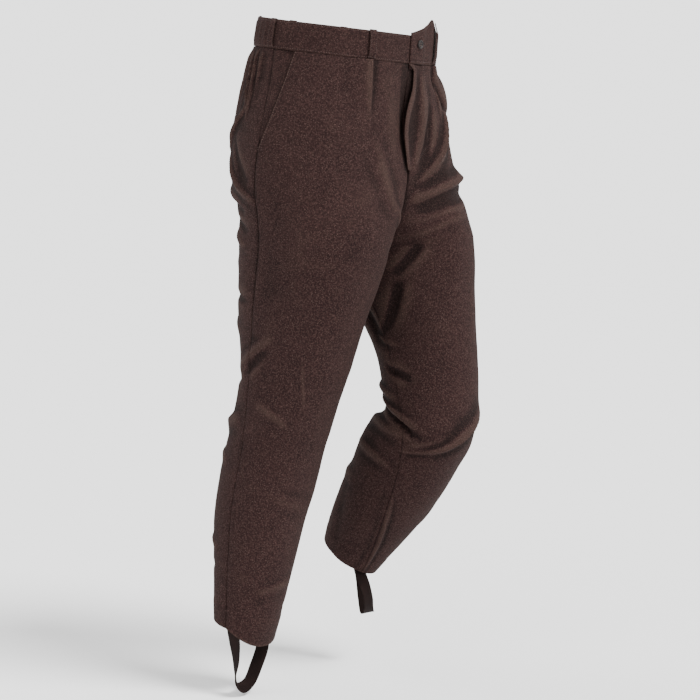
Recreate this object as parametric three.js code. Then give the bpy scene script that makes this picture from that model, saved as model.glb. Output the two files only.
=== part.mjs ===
import * as THREE from 'three';

// Uniform trousers of heavy brown wool with elastic foot straps, in their worn form.
// Millimetres, +Z up. The wearer faces -Y and +X is the wearer's left.
// The origin is the centre of the waistband ring, at half its height.

// Cloth, seams and trims
const CLOTH = 1.6;
const SEAM_GAP = 0.3;
const UNDER_GAP = 0.9;
const WAISTBAND_HEIGHT = 45;
const WAISTBAND_WALL = 2.6;
const WAISTBAND_LEAN = 3;
const BAND_LAP = 1.5;
const BAND_UNDERLAP = 26;
const BAND_STEP = 12;
const BAND_PROUD = 0.4;
const BAND_RIPPLE = 1.1;
const RIPPLE_REACH = 0.7;
const BACK_RISE = 2;
const FLY_LENGTH = 178;
const FLY_LAP = 15;
const FLY_LAP_AT = 122;
const FLY_LAP_REACH = 90;
const FLY_LIFT = 2.1;
const FLY_GAPE = 7;
const FLY_GAPE_AT = 93;
const FLY_GAPE_REACH = 110;
const FLY_REACH = 30;
const FLY_FADE = 23;
const FLY_DIP = 9;
const FLY_DIP_REACH = 42;
const FLY_SHIELD_WIDTH = 38;
const FLY_SHIELD_SHORT = 10;
const POCKET_TOP = 40;
const POCKET_LENGTH = 158;
const POCKET_TAIL = 6;
const POCKET_FACING_LAP = 16;
const PLEAT_SHARE = 0.71;
const PLEAT_LENGTH = 125;
const PLEAT_DEPTH = 5;
const PLEAT_SPREAD = 0.2;
const GATHER_START = 0.075;
const GATHER_END = 0.525;
const GATHER_COUNT = 5;
const GATHER_RISE = 22;
const GATHER_LENGTH = 150;
const GATHER_HEIGHT = 3.4;
const LOOP_WIDTH = 13;
const LOOP_WALL = 1.5;
const LOOP_LIFT = 3.6;
const LOOP_FLANK = 10;
const LOOP_FOOT = 1;
const BUTTON_DIAMETER = 14;
const BUTTON_THICKNESS = 3;
const BUTTON_INSET = 16;
const BUTTON_UP = 26;
const STIRRUP_WIDTH = 26;
const STIRRUP_WALL = 1.5;
const STIRRUP_TUCK = 16;
const STIRRUP_STEPS = 34;

const LEFT = 1;
const RIGHT = -1;
const FRONT = 1;
const BACK = -1;

function table(names, rows) {
  const columns = names.split(' ');
  return rows.map(row => Object.fromEntries(columns.map((name, i) => [name, row[i]])));
}

// The cut, as sections across one leg, at mm along the side seam below the waist seam.
// out and inn are the side seam and the inseam from the middle, front and back the depths.
// fork says how far the section has turned in to the inseam, 0 to 1.
// turn is how far the side seam lies behind the widest place, in degrees.
const CUT = table('at out inn front back fork turn', [
  [0, 176, 0, 134, 112, 0.00, 0],
  [60, 187, 0, 135, 133, 0.02, 1],
  [120, 197, 0, 134, 151, 0.09, 3],
  [180, 202, 0, 132, 150, 0.28, 7],
  [225, 203, 0, 132, 143, 0.48, 10],
  [260, 202, 0, 135, 129, 0.68, 11],
  [290, 201, 0, 137, 124, 0.88, 12],
  [310, 201, 1, 137, 121, 1.00, 12],
  [360, 199, 9, 132, 113, 1.00, 13],
  [420, 197, 19, 117, 104, 1.00, 14],
  [520, 194, 31, 92, 84, 1.00, 14],
  [620, 191, 38, 77, 82, 1.00, 9],
  [755, 187, 48, 71, 78, 1.00, 4],
  [850, 184, 60, 61, 64, 1.00, 1],
  [935, 182, 72, 46, 52, 1.00, 0],
  [985, 181, 78, 36, 48, 1.00, 0],
]);
const SQUARENESS = 2.15;
const FORK_AT = 310;
const HEM_AT = 935;

// The pose of each leg: where its section centre lies, how far it pitches in degrees,
// how much of the front's and the back's depth is left where the leg bends or swings,
// and how far it twists, toes out.
const POSE_NAMES = 'at y z pitch aside front back twist';
const POSE = {
  [RIGHT]: table(POSE_NAMES, [
    [0, 5, -22, 8, 0, 1, 1, 0],
    [120, 3, -142, 6, 0, 1, 1, 0],
    [225, -2, -247, 5, 0, 1, 1, 0],
    [300, -8, -322, 6, 0, 0.97, 1, 0],
    [360, 0, -382, 8, 0, 0.91, 1, 0],
    [420, 9, -442, 8, 0, 0.93, 1, 0],
    [520, 24, -540, 8, 0, 0.96, 0.96, 0],
    [620, 47, -639, 10, 0, 1, 1, 0],
    [755, 79, -771, 12, 6, 1, 1, 0],
    [850, 92, -864, 12, 8, 1, 1, 0],
    [935, 99, -948, 12, 8, 1, 1, 0],
    [985, 103, -998, 12, 8, 1, 1, 0],
  ]),
  [LEFT]: table(POSE_NAMES, [
    [0, 5, -22, 8, 0, 1, 1, 0],
    [120, -5, -142, 4, 0, 1, 1, 0],
    [180, -12, -202, 1, 0, 1, 1, 0],
    [225, -19, -246, -2, 0, 1, 1, 0],
    [300, -25, -319, -6, 0, 1.03, 0.9, 0],
    [400, -43, -414, -10, 0, 1.05, 0.75, 0],
    [500, -70, -512, -6, 0, 1.06, 0.66, 0],
    [560, -82, -570, 6, 0, 1.07, 0.78, 0],
    [620, -85, -628, 24, 0, 1.05, 0.86, 4],
    [680, -65, -676, 34, 0, 1.01, 1.15, 14],
    [800, 3, -772, 36, 0, 1, 1.08, 36],
    [935, 76, -868, 34, 0, 1, 1.06, 55],
    [985, 104, -902, 34, 0, 1, 1, 58],
  ]),
};

// The middle of the seat, which both legs share.
const SEAT = table(POSE_NAMES, [
  [0, 5, -22, 8, 0, 1, 1, 0],
  [120, 3, -142, 5, 0, 1, 1, 0],
  [225, -2, -247, 3, 0, 1, 1, 0],
  [310, -6, -332, 0, 0, 1, 1, 0],
  [985, -6, -997, 0, 0, 1, 1, 0],
]);
const HEM_DROP = {
  [RIGHT]: 26,
  [LEFT]: 6,
};
const HEM_DROP_START = 780;
const SEAT_REACH = 0.45;
const SEAT_FADE = 130;

// The largest creases, as ridges (high > 0) and troughs (high < 0) from one place to another.
// share runs from the side seam to the centre or inseam, bow is the sideways curve.
// lean steepens the flank towards the centre (> 0) or the side seam (< 0).
const CREASE_FADE = 24;
const CREASE_NAMES = 'at share toAt toShare wide high bow lean';
const CREASES = {
  front_right: table(CREASE_NAMES, [
    [250, 0.98, 420, 0.80, 26, 4, 6, 0.2],
    [560, 0.05, 600, 0.45, 20, 5, 4, 0.3],
  ]),
  front_left: table(CREASE_NAMES, [
    [10, 0.88, 190, 0.98, 22, 10, -4, 0.3],
    [4, 0.74, 90, 0.52, 18, -6, 8, 0],
    [14, 0.56, 96, 0.46, 34, 8, 8, 0],
    [58, 0.56, 205, 0.95, 22, 8, -10, 0.3],
    [175, 0.28, 245, 1.00, 26, 9, -6, -0.4],
    [215, 0.30, 262, 0.86, 20, -5, -4, 0],
    [540, 0.10, 575, 0.80, 24, 8, -8, 0.5],
    [575, 0.10, 606, 0.85, 16, -5, -8, 0],
  ]),
  back_right: table(CREASE_NAMES, [
    [150, 0.42, 250, 0.14, 18, 5, 8, 0.3],
    [300, 0.48, 340, 0.12, 16, 4, 4, 0.2],
    [420, 0.50, 450, 0.16, 16, 4, 4, 0.2],
    [575, 0.62, 545, 0.02, 20, 6, 4, 0.3],
  ]),
  back_left: table(CREASE_NAMES, [
    [300, 0.30, 330, 0.90, 22, 5, 4, 0.2],
    [590, 0.25, 600, 0.95, 22, -9, 0, 0],
    [630, 0.25, 640, 0.95, 24, 8, 0, 0.2],
    [560, 0.25, 570, 0.95, 22, 6, 0, -0.2],
  ]),
};

// How far the top of the left front band is pulled up, at a share of its quarter
const LEFT_RISE = table('at up', [
  [0, 0],
  [0.50, 2],
  [0.62, 7],
  [0.70, 18],
  [0.77, 29],
  [0.83, 20],
  [0.90, 13],
  [1, 4],
]);

// The foot straps: spread from -1 at the side seam to 1 at the inseam, down below the hem,
// and how far the tape turns about its own line, in degrees.
const STIRRUP_NAMES = 'spread down forward turn';
const STIRRUP = {
  [RIGHT]: table(STIRRUP_NAMES, [
    [-0.84, 0, 8, 0],
    [-0.785, 27, 9, 9],
    [-0.76, 55, 10, 28],
    [-0.80, 84, 11, 50],
    [-0.62, 100, 11, 30],
    [-0.10, 96, 8, 0],
    [0.26, 74, 6, 0],
    [0.68, 48, 0, 0],
    [0.84, 20, -4, 0],
    [0.84, 0, -4, 0],
  ]),
  [LEFT]: table(STIRRUP_NAMES, [
    [-0.90, 0, 0, 0],
    [-0.83, 30, 12, 0],
    [-0.62, 60, 23, 0],
    [-0.30, 90, 26, 10],
    [0.05, 101, 27, 25],
    [0.42, 84, 25, 36],
    [0.74, 50, 19, 24],
    [0.89, 22, 8, 0],
    [0.89, 0, 0, 0],
  ]),
};

// Belt loops, each at its share of a quarter of the waist
const BELT_LOOPS = [
  { name: 'belt_loop_front_right', side: RIGHT, half: FRONT, share: 0.70 },
  { name: 'belt_loop_front_left', side: LEFT, half: FRONT, share: 0.70 },
  { name: 'belt_loop_side_right', side: RIGHT, half: BACK, share: 0.035 },
  { name: 'belt_loop_side_left', side: LEFT, half: BACK, share: 0.035 },
  { name: 'belt_loop_back_right', side: RIGHT, half: BACK, share: 0.58 },
  { name: 'belt_loop_back_left', side: LEFT, half: BACK, share: 0.58 },
  { name: 'belt_loop_centre_back', side: RIGHT, half: BACK, share: 1 },
];

// The button's section, in shares of its radius and thickness
const BUTTON_PROFILE = table('out up', [
  [0, 0],
  [0.86, 0],
  [1, 0.35],
  [1, 0.75],
  [0.9, 1],
  [0.68, 0.9],
  [0.6, 0.6],
  [0, 0.6],
]);

// The grids of the panels: bands of rows down the leg, and columns from side to centre
const ROW_BANDS = table('from to count', [
  [0, 120, 8],
  [120, 200, 4],
  [200, 300, 7],
  [300, 520, 7],
  [520, 680, 8],
  [680, 935, 7],
]);
const FRONT_COLUMNS = [0, 0.08, 0.17, 0.27, 0.37, 0.47, 0.56, 0.64, 0.704, 0.712, 0.77, 0.84, 0.9, 0.95, 1];
const BACK_PLAIN_COLUMNS = [0.6, 0.7, 0.8, 0.9, 1];
const EDGE_SHARE = 0.3;

const COLOUR = {
  wool: 0x43302c,
  waistband: 0x42302b,
  loop: 0x3e2c28,
  facing: 0x3c2b27,
  button: 0x241a17,
  elastic: 0x33231f,
};

function smooth(t) {
  const x = Math.min(1, Math.max(0, t));
  return x * x * (3 - 2 * x);
}

// A smooth curve through one column of a table
function along(rows, name, at) {
  const last = rows.length - 1;
  const slope = i => (rows[i + 1][name] - rows[i][name]) / (rows[i + 1].at - rows[i].at);
  const span = i => rows[i + 1].at - rows[i].at;
  const tangent = i => {
    if (i === 0) return slope(0);
    if (i === last) return slope(last - 1);
    return (slope(i - 1) * span(i) + slope(i) * span(i - 1)) / (span(i) + span(i - 1));
  };
  let k = 0;
  while (k < last - 1 && at > rows[k + 1].at) k += 1;
  const h = span(k);
  const t = (at - rows[k].at) / h;
  const rest = 1 - t;
  return (1 + 2 * t) * rest * rest * rows[k][name] + t * rest * rest * h * tangent(k)
    + t * t * (3 - 2 * t) * rows[k + 1][name] - t * t * rest * h * tangent(k + 1);
}

// One point of a leg's section: distance from the middle, and depth behind the section centre.
// A front share near the side seam lies behind the widest place, by the turn.
function sectionPoint(half, at, share) {
  const out = along(CUT, 'out', at);
  const inn = along(CUT, 'inn', at);
  const fork = at >= FORK_AT ? 1 : Math.min(1, Math.max(0, along(CUT, 'fork', at)));
  const radius = (out - inn) / (1 + fork);
  const power = 2 / SQUARENESS;
  const end = Math.PI - Math.acos(fork ** (1 / power));
  const turn = THREE.MathUtils.degToRad(along(CUT, 'turn', at));
  const angle = half * share * end - turn * (1 - share);
  const depth = along(CUT, angle > 0 ? 'front' : 'back', at);
  const c = Math.cos(angle);
  const across = out - radius * (1 - Math.sign(c) * Math.abs(c) ** power);
  return {
    across,
    depth: -Math.sign(angle) * depth * Math.abs(Math.sin(angle)) ** power,
    middle: (out + inn) / 2,
    out,
  };
}

function placeSection(pose, at, { across, depth, middle }) {
  const pitch = THREE.MathUtils.degToRad(along(pose, 'pitch', at));
  const twist = THREE.MathUtils.degToRad(along(pose, 'twist', at));
  const deep = depth * along(pose, depth > 0 ? 'back' : 'front', at);
  const wide = across - middle;
  const turnedWide = wide * Math.cos(twist) - deep * Math.sin(twist);
  const turnedDeep = wide * Math.sin(twist) + deep * Math.cos(twist);
  return [
    middle + turnedWide + along(pose, 'aside', at),
    along(pose, 'y', at) + turnedDeep * Math.cos(pitch),
    along(pose, 'z', at) + turnedDeep * Math.sin(pitch),
  ];
}

// The smooth form of a leg, before pleats, gathers and creases
function formPoint(side, half, at, share) {
  const p = sectionPoint(half, at, share);
  const seat = placeSection(SEAT, at, p);
  const leg = placeSection(POSE[side], at, p);
  const nearSide = smooth(p.across / (SEAT_REACH * p.out));
  const weight = nearSide + (1 - nearSide) * smooth((at - FORK_AT) / SEAT_FADE);
  const [x, y, z] = seat.map((value, i) => value + (leg[i] - value) * weight);
  return new THREE.Vector3(side * Math.max(x, 0), y, z);
}

function formNormal(side, half, at, share) {
  const step = 0.0005;
  const low = Math.max(0, share - step);
  const high = Math.min(1, share + step);
  const across = formPoint(side, half, at, high).sub(formPoint(side, half, at, low));
  const top = Math.max(0, at - 1);
  const down = formPoint(side, half, top + 2, share).sub(formPoint(side, half, top, share));
  return across.cross(down).normalize().multiplyScalar(side * half);
}

const arcCache = new Map();
// The width of a panel, from the side seam round to the centre or inseam
function arcWidth(half, at) {
  const key = `${half} ${at.toFixed(1)}`;
  if (!arcCache.has(key)) {
    let length = 0;
    let last = sectionPoint(half, at, 0);
    for (let i = 1; i <= 24; i += 1) {
      const next = sectionPoint(half, at, i / 24);
      length += Math.hypot(next.across - last.across, next.depth - last.depth);
      last = next;
    }
    arcCache.set(key, length);
  }
  return arcCache.get(key);
}

function bell(t) {
  return Math.abs(t) < 1 ? 0.5 + 0.5 * Math.cos(Math.PI * t) : 0;
}

// The height of one crease at a place on its panel
function creaseHeight(crease, half, at, share) {
  const width = arcWidth(half, at);
  const long = Math.hypot(crease.toAt - crease.at, (crease.toShare - crease.share) * width);
  const alongAt = (crease.toAt - crease.at) / long;
  const alongShare = (crease.toShare - crease.share) * width / long;
  const da = at - crease.at;
  const ds = (share - crease.share) * width;
  const t = (da * alongAt + ds * alongShare) / long;
  if (t <= 0 || t >= 1) return 0;
  const middle = 1 - (2 * t - 1) ** 2;
  const off = ds * alongAt - da * alongShare - crease.bow * middle;
  const reach = crease.wide * (1 - Math.sign(off) * crease.lean);
  return crease.high * (1 - Math.abs(2 * t - 1) ** 3) * bell(off / reach);
}

// The front pleat: the side part rises to a sharp edge and drops to the fly part
function pleatHeight(at, share) {
  const before = PLEAT_SHARE - share;
  if (before < 0 || before > PLEAT_SPREAD) return 0;
  return PLEAT_DEPTH * smooth(1 - before / PLEAT_SPREAD) * smooth(1 - at / PLEAT_LENGTH);
}

// The gathers below the elastic part of the waistband
function gatherWave(share) {
  const t = (share - GATHER_START) / (GATHER_END - GATHER_START);
  if (t <= 0 || t >= 1) return 0;
  return Math.sin(Math.PI * GATHER_COUNT * t) ** 2 * smooth(6 * t) * smooth(6 * (1 - t));
}

function gatherHeight(at, share) {
  return GATHER_HEIGHT * gatherWave(share) * smooth(at / GATHER_RISE) * smooth(1 - at / GATHER_LENGTH);
}

// How far down the fly a place is, 1 half way and 0 at both ends
function flyMiddle(at) {
  return bell((at - FLY_GAPE_AT) / FLY_GAPE_REACH);
}

// The left front stands over the right one along the fly, and gapes half way down
function flyLift(at, share) {
  const width = arcWidth(FRONT, at);
  const reach = smooth((share - 1) * width / FLY_REACH + 1);
  return (FLY_LIFT + FLY_GAPE * flyMiddle(at)) * reach * smooth((FLY_LENGTH + FLY_FADE - at) / FLY_FADE);
}

// Both fronts sink along the fly
function flyDip(at, share) {
  return -FLY_DIP * flyMiddle(at) * bell((1 - share) * arcWidth(FRONT, at) / FLY_DIP_REACH);
}

function panelHeight(name, half, at, share) {
  let height = half === FRONT ? pleatHeight(at, share) + flyDip(at, share) : gatherHeight(at, share);
  const offCentre = smooth((1 - share) * arcWidth(half, at) / CREASE_FADE);
  for (const crease of CREASES[name]) height += offCentre * creaseHeight(crease, half, at, share);
  if (name === 'front_left') height += flyLift(at, share);
  return height;
}

// A point above the form, where a share past 1 goes on over the other side's front
function liftedPoint(side, half, at, share, height) {
  const past = share > 1;
  const onSide = past ? -side : side;
  const onShare = past ? 2 - share : share;
  const base = formPoint(onSide, half, at, onShare);
  return base.addScaledVector(formNormal(onSide, half, at, onShare), height);
}

// A closed wall between an outer and an inner grid of points
function wallGeometry(outer, inner) {
  const rowCount = outer.length;
  const columnCount = outer[0].length;
  const positions = [];
  for (const grid of [outer, inner]) {
    for (const row of grid) {
      for (const p of row) positions.push(p.x, p.y, p.z);
    }
  }
  const outerIndex = (i, j) => i * columnCount + j;
  const innerIndex = (i, j) => rowCount * columnCount + i * columnCount + j;
  const faces = [];
  const quad = (a, b, c, d) => faces.push(a, b, c, a, c, d);
  for (let i = 0; i < rowCount - 1; i += 1) {
    for (let j = 0; j < columnCount - 1; j += 1) {
      quad(outerIndex(i, j), outerIndex(i + 1, j), outerIndex(i + 1, j + 1), outerIndex(i, j + 1));
      quad(innerIndex(i, j), innerIndex(i, j + 1), innerIndex(i + 1, j + 1), innerIndex(i + 1, j));
    }
    const last = columnCount - 1;
    quad(outerIndex(i, 0), innerIndex(i, 0), innerIndex(i + 1, 0), outerIndex(i + 1, 0));
    quad(outerIndex(i, last), outerIndex(i + 1, last), innerIndex(i + 1, last), innerIndex(i, last));
  }
  for (let j = 0; j < columnCount - 1; j += 1) {
    const last = rowCount - 1;
    quad(outerIndex(0, j), outerIndex(0, j + 1), innerIndex(0, j + 1), innerIndex(0, j));
    quad(outerIndex(last, j), innerIndex(last, j), innerIndex(last, j + 1), outerIndex(last, j + 1));
  }
  return closedGeometry(positions, faces);
}

// A geometry whose faces point out, whichever way its grid ran
function closedGeometry(positions, faces) {
  const at = i => new THREE.Vector3().fromArray(positions, 3 * i);
  let volume = 0;
  for (let i = 0; i < faces.length; i += 3) {
    volume += at(faces[i]).dot(at(faces[i + 1]).cross(at(faces[i + 2])));
  }
  if (volume < 0) faces.reverse();
  const geometry = new THREE.BufferGeometry();
  geometry.setAttribute('position', new THREE.Float32BufferAttribute(positions, 3));
  geometry.setIndex(faces);
  geometry.computeVertexNormals();
  return geometry;
}

// The hem hangs lower at the front of the leg
function hemDrop(side, half, at, share) {
  if (half === BACK || at < HEM_DROP_START) return 0;
  const near = (at - HEM_DROP_START) / (HEM_AT - HEM_DROP_START);
  return HEM_DROP[side] * near * near * Math.sin(Math.PI * share ** 1.1);
}

function panelRows() {
  const rows = [SEAM_GAP / 2];
  for (const band of ROW_BANDS) {
    for (let i = 1; i <= band.count; i += 1) rows.push(band.from + (band.to - band.from) * i / band.count);
  }
  return rows;
}

function backColumns() {
  const columns = [0];
  const steps = 2 * GATHER_COUNT;
  for (let i = 0; i <= steps; i += 1) columns.push(GATHER_START + (GATHER_END - GATHER_START) * i / steps);
  return columns.concat(BACK_PLAIN_COLUMNS);
}

// The slanted pocket edge, in mm from the side seam
function pocketEdge(at) {
  return POCKET_TOP * Math.max(0, 1 - at / POCKET_LENGTH);
}

// How far the left front's fly edge passes the centre, in mm
function flyLap(at) {
  return BAND_LAP + FLY_LAP * bell((at - FLY_LAP_AT) / FLY_LAP_REACH);
}

function panel(name, side, half) {
  const columns = half === FRONT ? FRONT_COLUMNS : backColumns();
  const outer = [];
  const inner = [];
  for (const at of panelRows()) {
    const width = arcWidth(half, at);
    const inset = SEAM_GAP / 2 / width;
    const start = inset + (half === FRONT ? pocketEdge(at) / width : 0);
    const end = name === 'front_left' && at < FLY_LENGTH ? 1 + flyLap(at) / width : 1 - inset;
    const shares = columns.map(column => blendColumn(column, start, end));
    const gridRow = depth => shares.map(s => {
      const low = at + hemDrop(side, half, at, s);
      return liftedPoint(side, half, low, s, panelHeight(name, half, low, s) - depth);
    });
    outer.push(gridRow(0));
    inner.push(gridRow(CLOTH));
  }
  return wallGeometry(outer, inner);
}

// A column's share, moved only near the edges so that pleats and gathers keep their place
function blendColumn(column, start, end) {
  const fromStart = column / EDGE_SHARE;
  const fromEnd = (1 - column) / EDGE_SHARE;
  if (fromStart < 1) return start + (EDGE_SHARE - start) * fromStart;
  if (fromEnd < 1) return end - (end - 1 + EDGE_SHARE) * fromEnd;
  return column;
}

function evenSteps(from, to, count) {
  return Array.from({ length: count + 1 }, (unused, i) => from + (to - from) * i / count);
}

// A strip that lies under a panel, with its places across given in mm and its heights
function strip(side, rows, acrossAt, heightAt) {
  const gridAt = depth => rows.map(at => acrossAt(at).map(mm => {
    const share = mm / arcWidth(FRONT, at);
    return liftedPoint(side, FRONT, at, share, heightAt(at, share, mm) - depth);
  }));
  return wallGeometry(gridAt(0), gridAt(CLOTH));
}

// The facing shows in the triangle between the side seam and the pocket edge,
// and slopes in from the seam to pass under the front panel
function pocketFacing(side) {
  const name = side === LEFT ? 'front_left' : 'front_right';
  const rows = panelRows().filter(at => at < POCKET_LENGTH - POCKET_TAIL);
  const acrossAt = at => {
    const edge = pocketEdge(at);
    return [SEAM_GAP / 2, edge / 2, edge, edge + POCKET_FACING_LAP / 2, edge + POCKET_FACING_LAP];
  };
  const heightAt = (at, share, mm) =>
    panelHeight(name, FRONT, at, share) - (CLOTH + UNDER_GAP) * Math.min(1, mm / pocketEdge(at));
  return strip(side, rows, acrossAt, heightAt);
}

// The shield is sewn to the right front's fly edge and lies behind the left front
function flyShield() {
  const rows = panelRows().filter(at => at < FLY_LENGTH - FLY_SHIELD_SHORT);
  const acrossAt = at => evenSteps(FLY_SHIELD_WIDTH, SEAM_GAP / 2, 4).map(mm => arcWidth(FRONT, at) - mm);
  const heightAt = (at, share) => flyDip(at, share) - CLOTH - UNDER_GAP;
  return strip(LEFT, rows, acrossAt, heightAt);
}

// The waistband is a little higher at the back, and pulled up beside the left front's loop
function bandRise(side, half, share) {
  if (half === BACK) return BACK_RISE * smooth(share * 2);
  return side === LEFT ? along(LEFT_RISE, 'up', Math.min(share, 1)) : 0;
}

// The waistband stands on the top edge of the panels
function bandPoint(side, half, share, up, height) {
  const past = share > 1;
  const onSide = past ? -side : side;
  const onShare = past ? 2 - share : share;
  const base = formPoint(onSide, half, 0, onShare);
  const normal = formNormal(onSide, half, 0, onShare).setZ(0).normalize();
  const tilt = THREE.MathUtils.degToRad(SEAT[0].pitch);
  const rise = 1 + bandRise(side, half, share) / WAISTBAND_HEIGHT;
  const upward = new THREE.Vector3(0, -Math.sin(tilt), Math.cos(tilt));
  const inward = -WAISTBAND_LEAN * up / WAISTBAND_HEIGHT;
  const middle = bell(2 * RIPPLE_REACH * (up / WAISTBAND_HEIGHT - 0.5));
  const ripple = half === BACK ? BAND_RIPPLE * gatherWave(onShare) * middle : 0;
  return base.addScaledVector(upward, up * rise).addScaledVector(normal, height + inward + ripple);
}

// The left band lies over the right one, which passes under it at the centre
function bandHeight(side, half, share) {
  if (side === RIGHT || half === BACK) return BAND_PROUD;
  const past = (share - 1) * arcWidth(FRONT, 0) + BAND_UNDERLAP;
  return BAND_PROUD + (WAISTBAND_WALL + SEAM_GAP) * smooth(past / BAND_STEP + 1);
}

function waistband(side) {
  const width = arcWidth(FRONT, 0);
  const frontEnd = 1 + (side === LEFT ? BAND_LAP : BAND_UNDERLAP) / width;
  const backEnd = 1 - SEAM_GAP / 2 / arcWidth(BACK, 0);
  const stations = [
    ...backColumns().slice(1).reverse().map(s => ({ half: BACK, share: Math.min(s, backEnd) })),
    ...FRONT_COLUMNS.map(s => ({ half: FRONT, share: s === 1 ? frontEnd : s })),
  ];
  const rows = evenSteps(SEAM_GAP / 2, WAISTBAND_HEIGHT, 3);
  const gridAt = depth => rows.map(up => stations.map(s =>
    bandPoint(side, s.half, s.share, up, bandHeight(side, s.half, s.share) - depth)));
  return wallGeometry(gridAt(0), gridAt(WAISTBAND_WALL));
}

// A loop's lift off the band: sewn down at both ends, standing clear between
function loopLift(t) {
  const clear = WAISTBAND_HEIGHT / LOOP_FLANK;
  return SEAM_GAP + LOOP_LIFT * smooth(clear * t) * smooth(clear * (1 - t));
}

function beltLoop({ side, half, share }) {
  const width = arcWidth(half, 0);
  const rows = evenSteps(0, 1, 12);
  const columns = evenSteps(-0.5, 0.5, 2);
  const gridAt = height => rows.map(t => columns.map(u => {
    const up = LOOP_FOOT + (WAISTBAND_HEIGHT + LOOP_FOOT / 2) * t;
    const lift = bandHeight(side, half, share) + loopLift(t) + height;
    return bandPoint(side, half, share + u * LOOP_WIDTH / width, up, lift);
  }));
  return wallGeometry(gridAt(LOOP_WALL), gridAt(0));
}

// The foot strap, from inside the hem at the side seam round to the inseam
function stirrup(side) {
  const outerSeam = formPoint(side, FRONT, HEM_AT, 0);
  const innerSeam = formPoint(side, FRONT, HEM_AT, 1);
  const centre = outerSeam.clone().add(innerSeam).multiplyScalar(0.5);
  const reach = innerSeam.clone().sub(outerSeam).multiplyScalar(0.5);
  const legUp = formPoint(side, FRONT, HEM_AT - STIRRUP_TUCK, 0).sub(outerSeam);
  const points = STIRRUP[side].map(row => centre.clone().addScaledVector(reach, row.spread)
    .add(new THREE.Vector3(0, -row.forward, -row.down)));
  points.unshift(points[0].clone().add(legUp));
  points.push(points[points.length - 1].clone().add(legUp));
  const turns = STIRRUP[side].map((row, i) => ({ at: i + 1, turn: row.turn }));
  turns.unshift({ at: 0, turn: 0 });
  turns.push({ at: turns.length, turn: 0 });
  const path = new THREE.CatmullRomCurve3(points, false, 'centripetal');
  const hemWay = reach.clone().cross(legUp).normalize();
  const steps = evenSteps(0, 1, STIRRUP_STEPS);
  const gridAt = height => steps.map(t => {
    const middle = path.getPointAt(t);
    const tangent = path.getTangentAt(t);
    const turn = along(turns, 'turn', path.getUtoTmapping(t) * (points.length - 1));
    const wideWay = hemWay.clone().applyAxisAngle(tangent, THREE.MathUtils.degToRad(turn));
    const out = wideWay.clone().cross(tangent).normalize();
    return evenSteps(-0.5, 0.5, 2).map(u => middle.clone().addScaledVector(wideWay, u * STIRRUP_WIDTH)
      .addScaledVector(out, height));
  });
  return wallGeometry(gridAt(STIRRUP_WALL / 2), gridAt(-STIRRUP_WALL / 2));
}

// The button is a disc with a rim, dished in front and plain behind
function buttonGeometry() {
  const profile = BUTTON_PROFILE.map(({ out, up }) =>
    new THREE.Vector2(out * BUTTON_DIAMETER / 2, up * BUTTON_THICKNESS));
  return new THREE.LatheGeometry(profile, 24);
}

function cloth(color, roughness = 0.95) {
  return new THREE.MeshStandardMaterial({ color, roughness, metalness: 0 });
}

function add(group, name, geometry, color, roughness) {
  const mesh = new THREE.Mesh(geometry, cloth(color, roughness));
  mesh.name = name;
  group.add(mesh);
  return mesh;
}

const group = new THREE.Group();

for (const [word, side] of [['right', RIGHT], ['left', LEFT]]) {
  add(group, `front_${word}`, panel(`front_${word}`, side, FRONT), COLOUR.wool);
  add(group, `back_${word}`, panel(`back_${word}`, side, BACK), COLOUR.wool);
  add(group, `pocket_facing_${word}`, pocketFacing(side), COLOUR.facing);
  add(group, `waistband_${word}`, waistband(side), COLOUR.waistband);
  add(group, `stirrup_${word}`, stirrup(side), COLOUR.elastic);
}
add(group, 'fly_shield', flyShield(), COLOUR.facing);
for (const loop of BELT_LOOPS) add(group, loop.name, beltLoop(loop), COLOUR.loop);

const waistButton = add(group, 'waist_button', buttonGeometry(), COLOUR.button, 0.4);
const buttonShare = 1 - BUTTON_INSET / arcWidth(FRONT, 0);
const buttonHeight = bandHeight(LEFT, FRONT, buttonShare) + SEAM_GAP;
waistButton.position.copy(bandPoint(LEFT, FRONT, buttonShare, BUTTON_UP, buttonHeight));
const buttonLean = THREE.MathUtils.degToRad(SEAT[0].pitch) - Math.atan(WAISTBAND_LEAN / WAISTBAND_HEIGHT);
waistButton.rotation.set(Math.PI + buttonLean, 0, 0);

export default group;
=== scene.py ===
import math
import bmesh
import bpy
import numpy as np
from mathutils import Matrix, Vector


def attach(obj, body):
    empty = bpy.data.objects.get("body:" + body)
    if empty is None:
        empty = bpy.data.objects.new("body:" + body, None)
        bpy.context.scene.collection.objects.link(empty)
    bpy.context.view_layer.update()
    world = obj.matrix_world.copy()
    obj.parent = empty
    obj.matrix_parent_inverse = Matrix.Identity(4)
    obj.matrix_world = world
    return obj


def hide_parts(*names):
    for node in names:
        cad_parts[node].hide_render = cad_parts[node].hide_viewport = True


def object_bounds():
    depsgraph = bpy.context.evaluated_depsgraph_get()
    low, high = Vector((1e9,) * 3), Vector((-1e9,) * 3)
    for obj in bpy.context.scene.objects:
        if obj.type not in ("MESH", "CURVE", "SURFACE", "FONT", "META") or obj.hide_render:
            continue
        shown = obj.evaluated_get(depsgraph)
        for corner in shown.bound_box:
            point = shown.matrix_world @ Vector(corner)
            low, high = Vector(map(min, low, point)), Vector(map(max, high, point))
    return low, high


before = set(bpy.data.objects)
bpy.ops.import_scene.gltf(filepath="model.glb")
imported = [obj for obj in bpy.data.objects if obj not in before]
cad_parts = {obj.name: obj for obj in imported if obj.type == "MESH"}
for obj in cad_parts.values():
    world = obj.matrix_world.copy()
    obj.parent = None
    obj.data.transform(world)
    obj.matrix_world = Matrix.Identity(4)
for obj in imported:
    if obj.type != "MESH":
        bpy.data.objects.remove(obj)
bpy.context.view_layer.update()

print("trousers: frame loaded")

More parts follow.
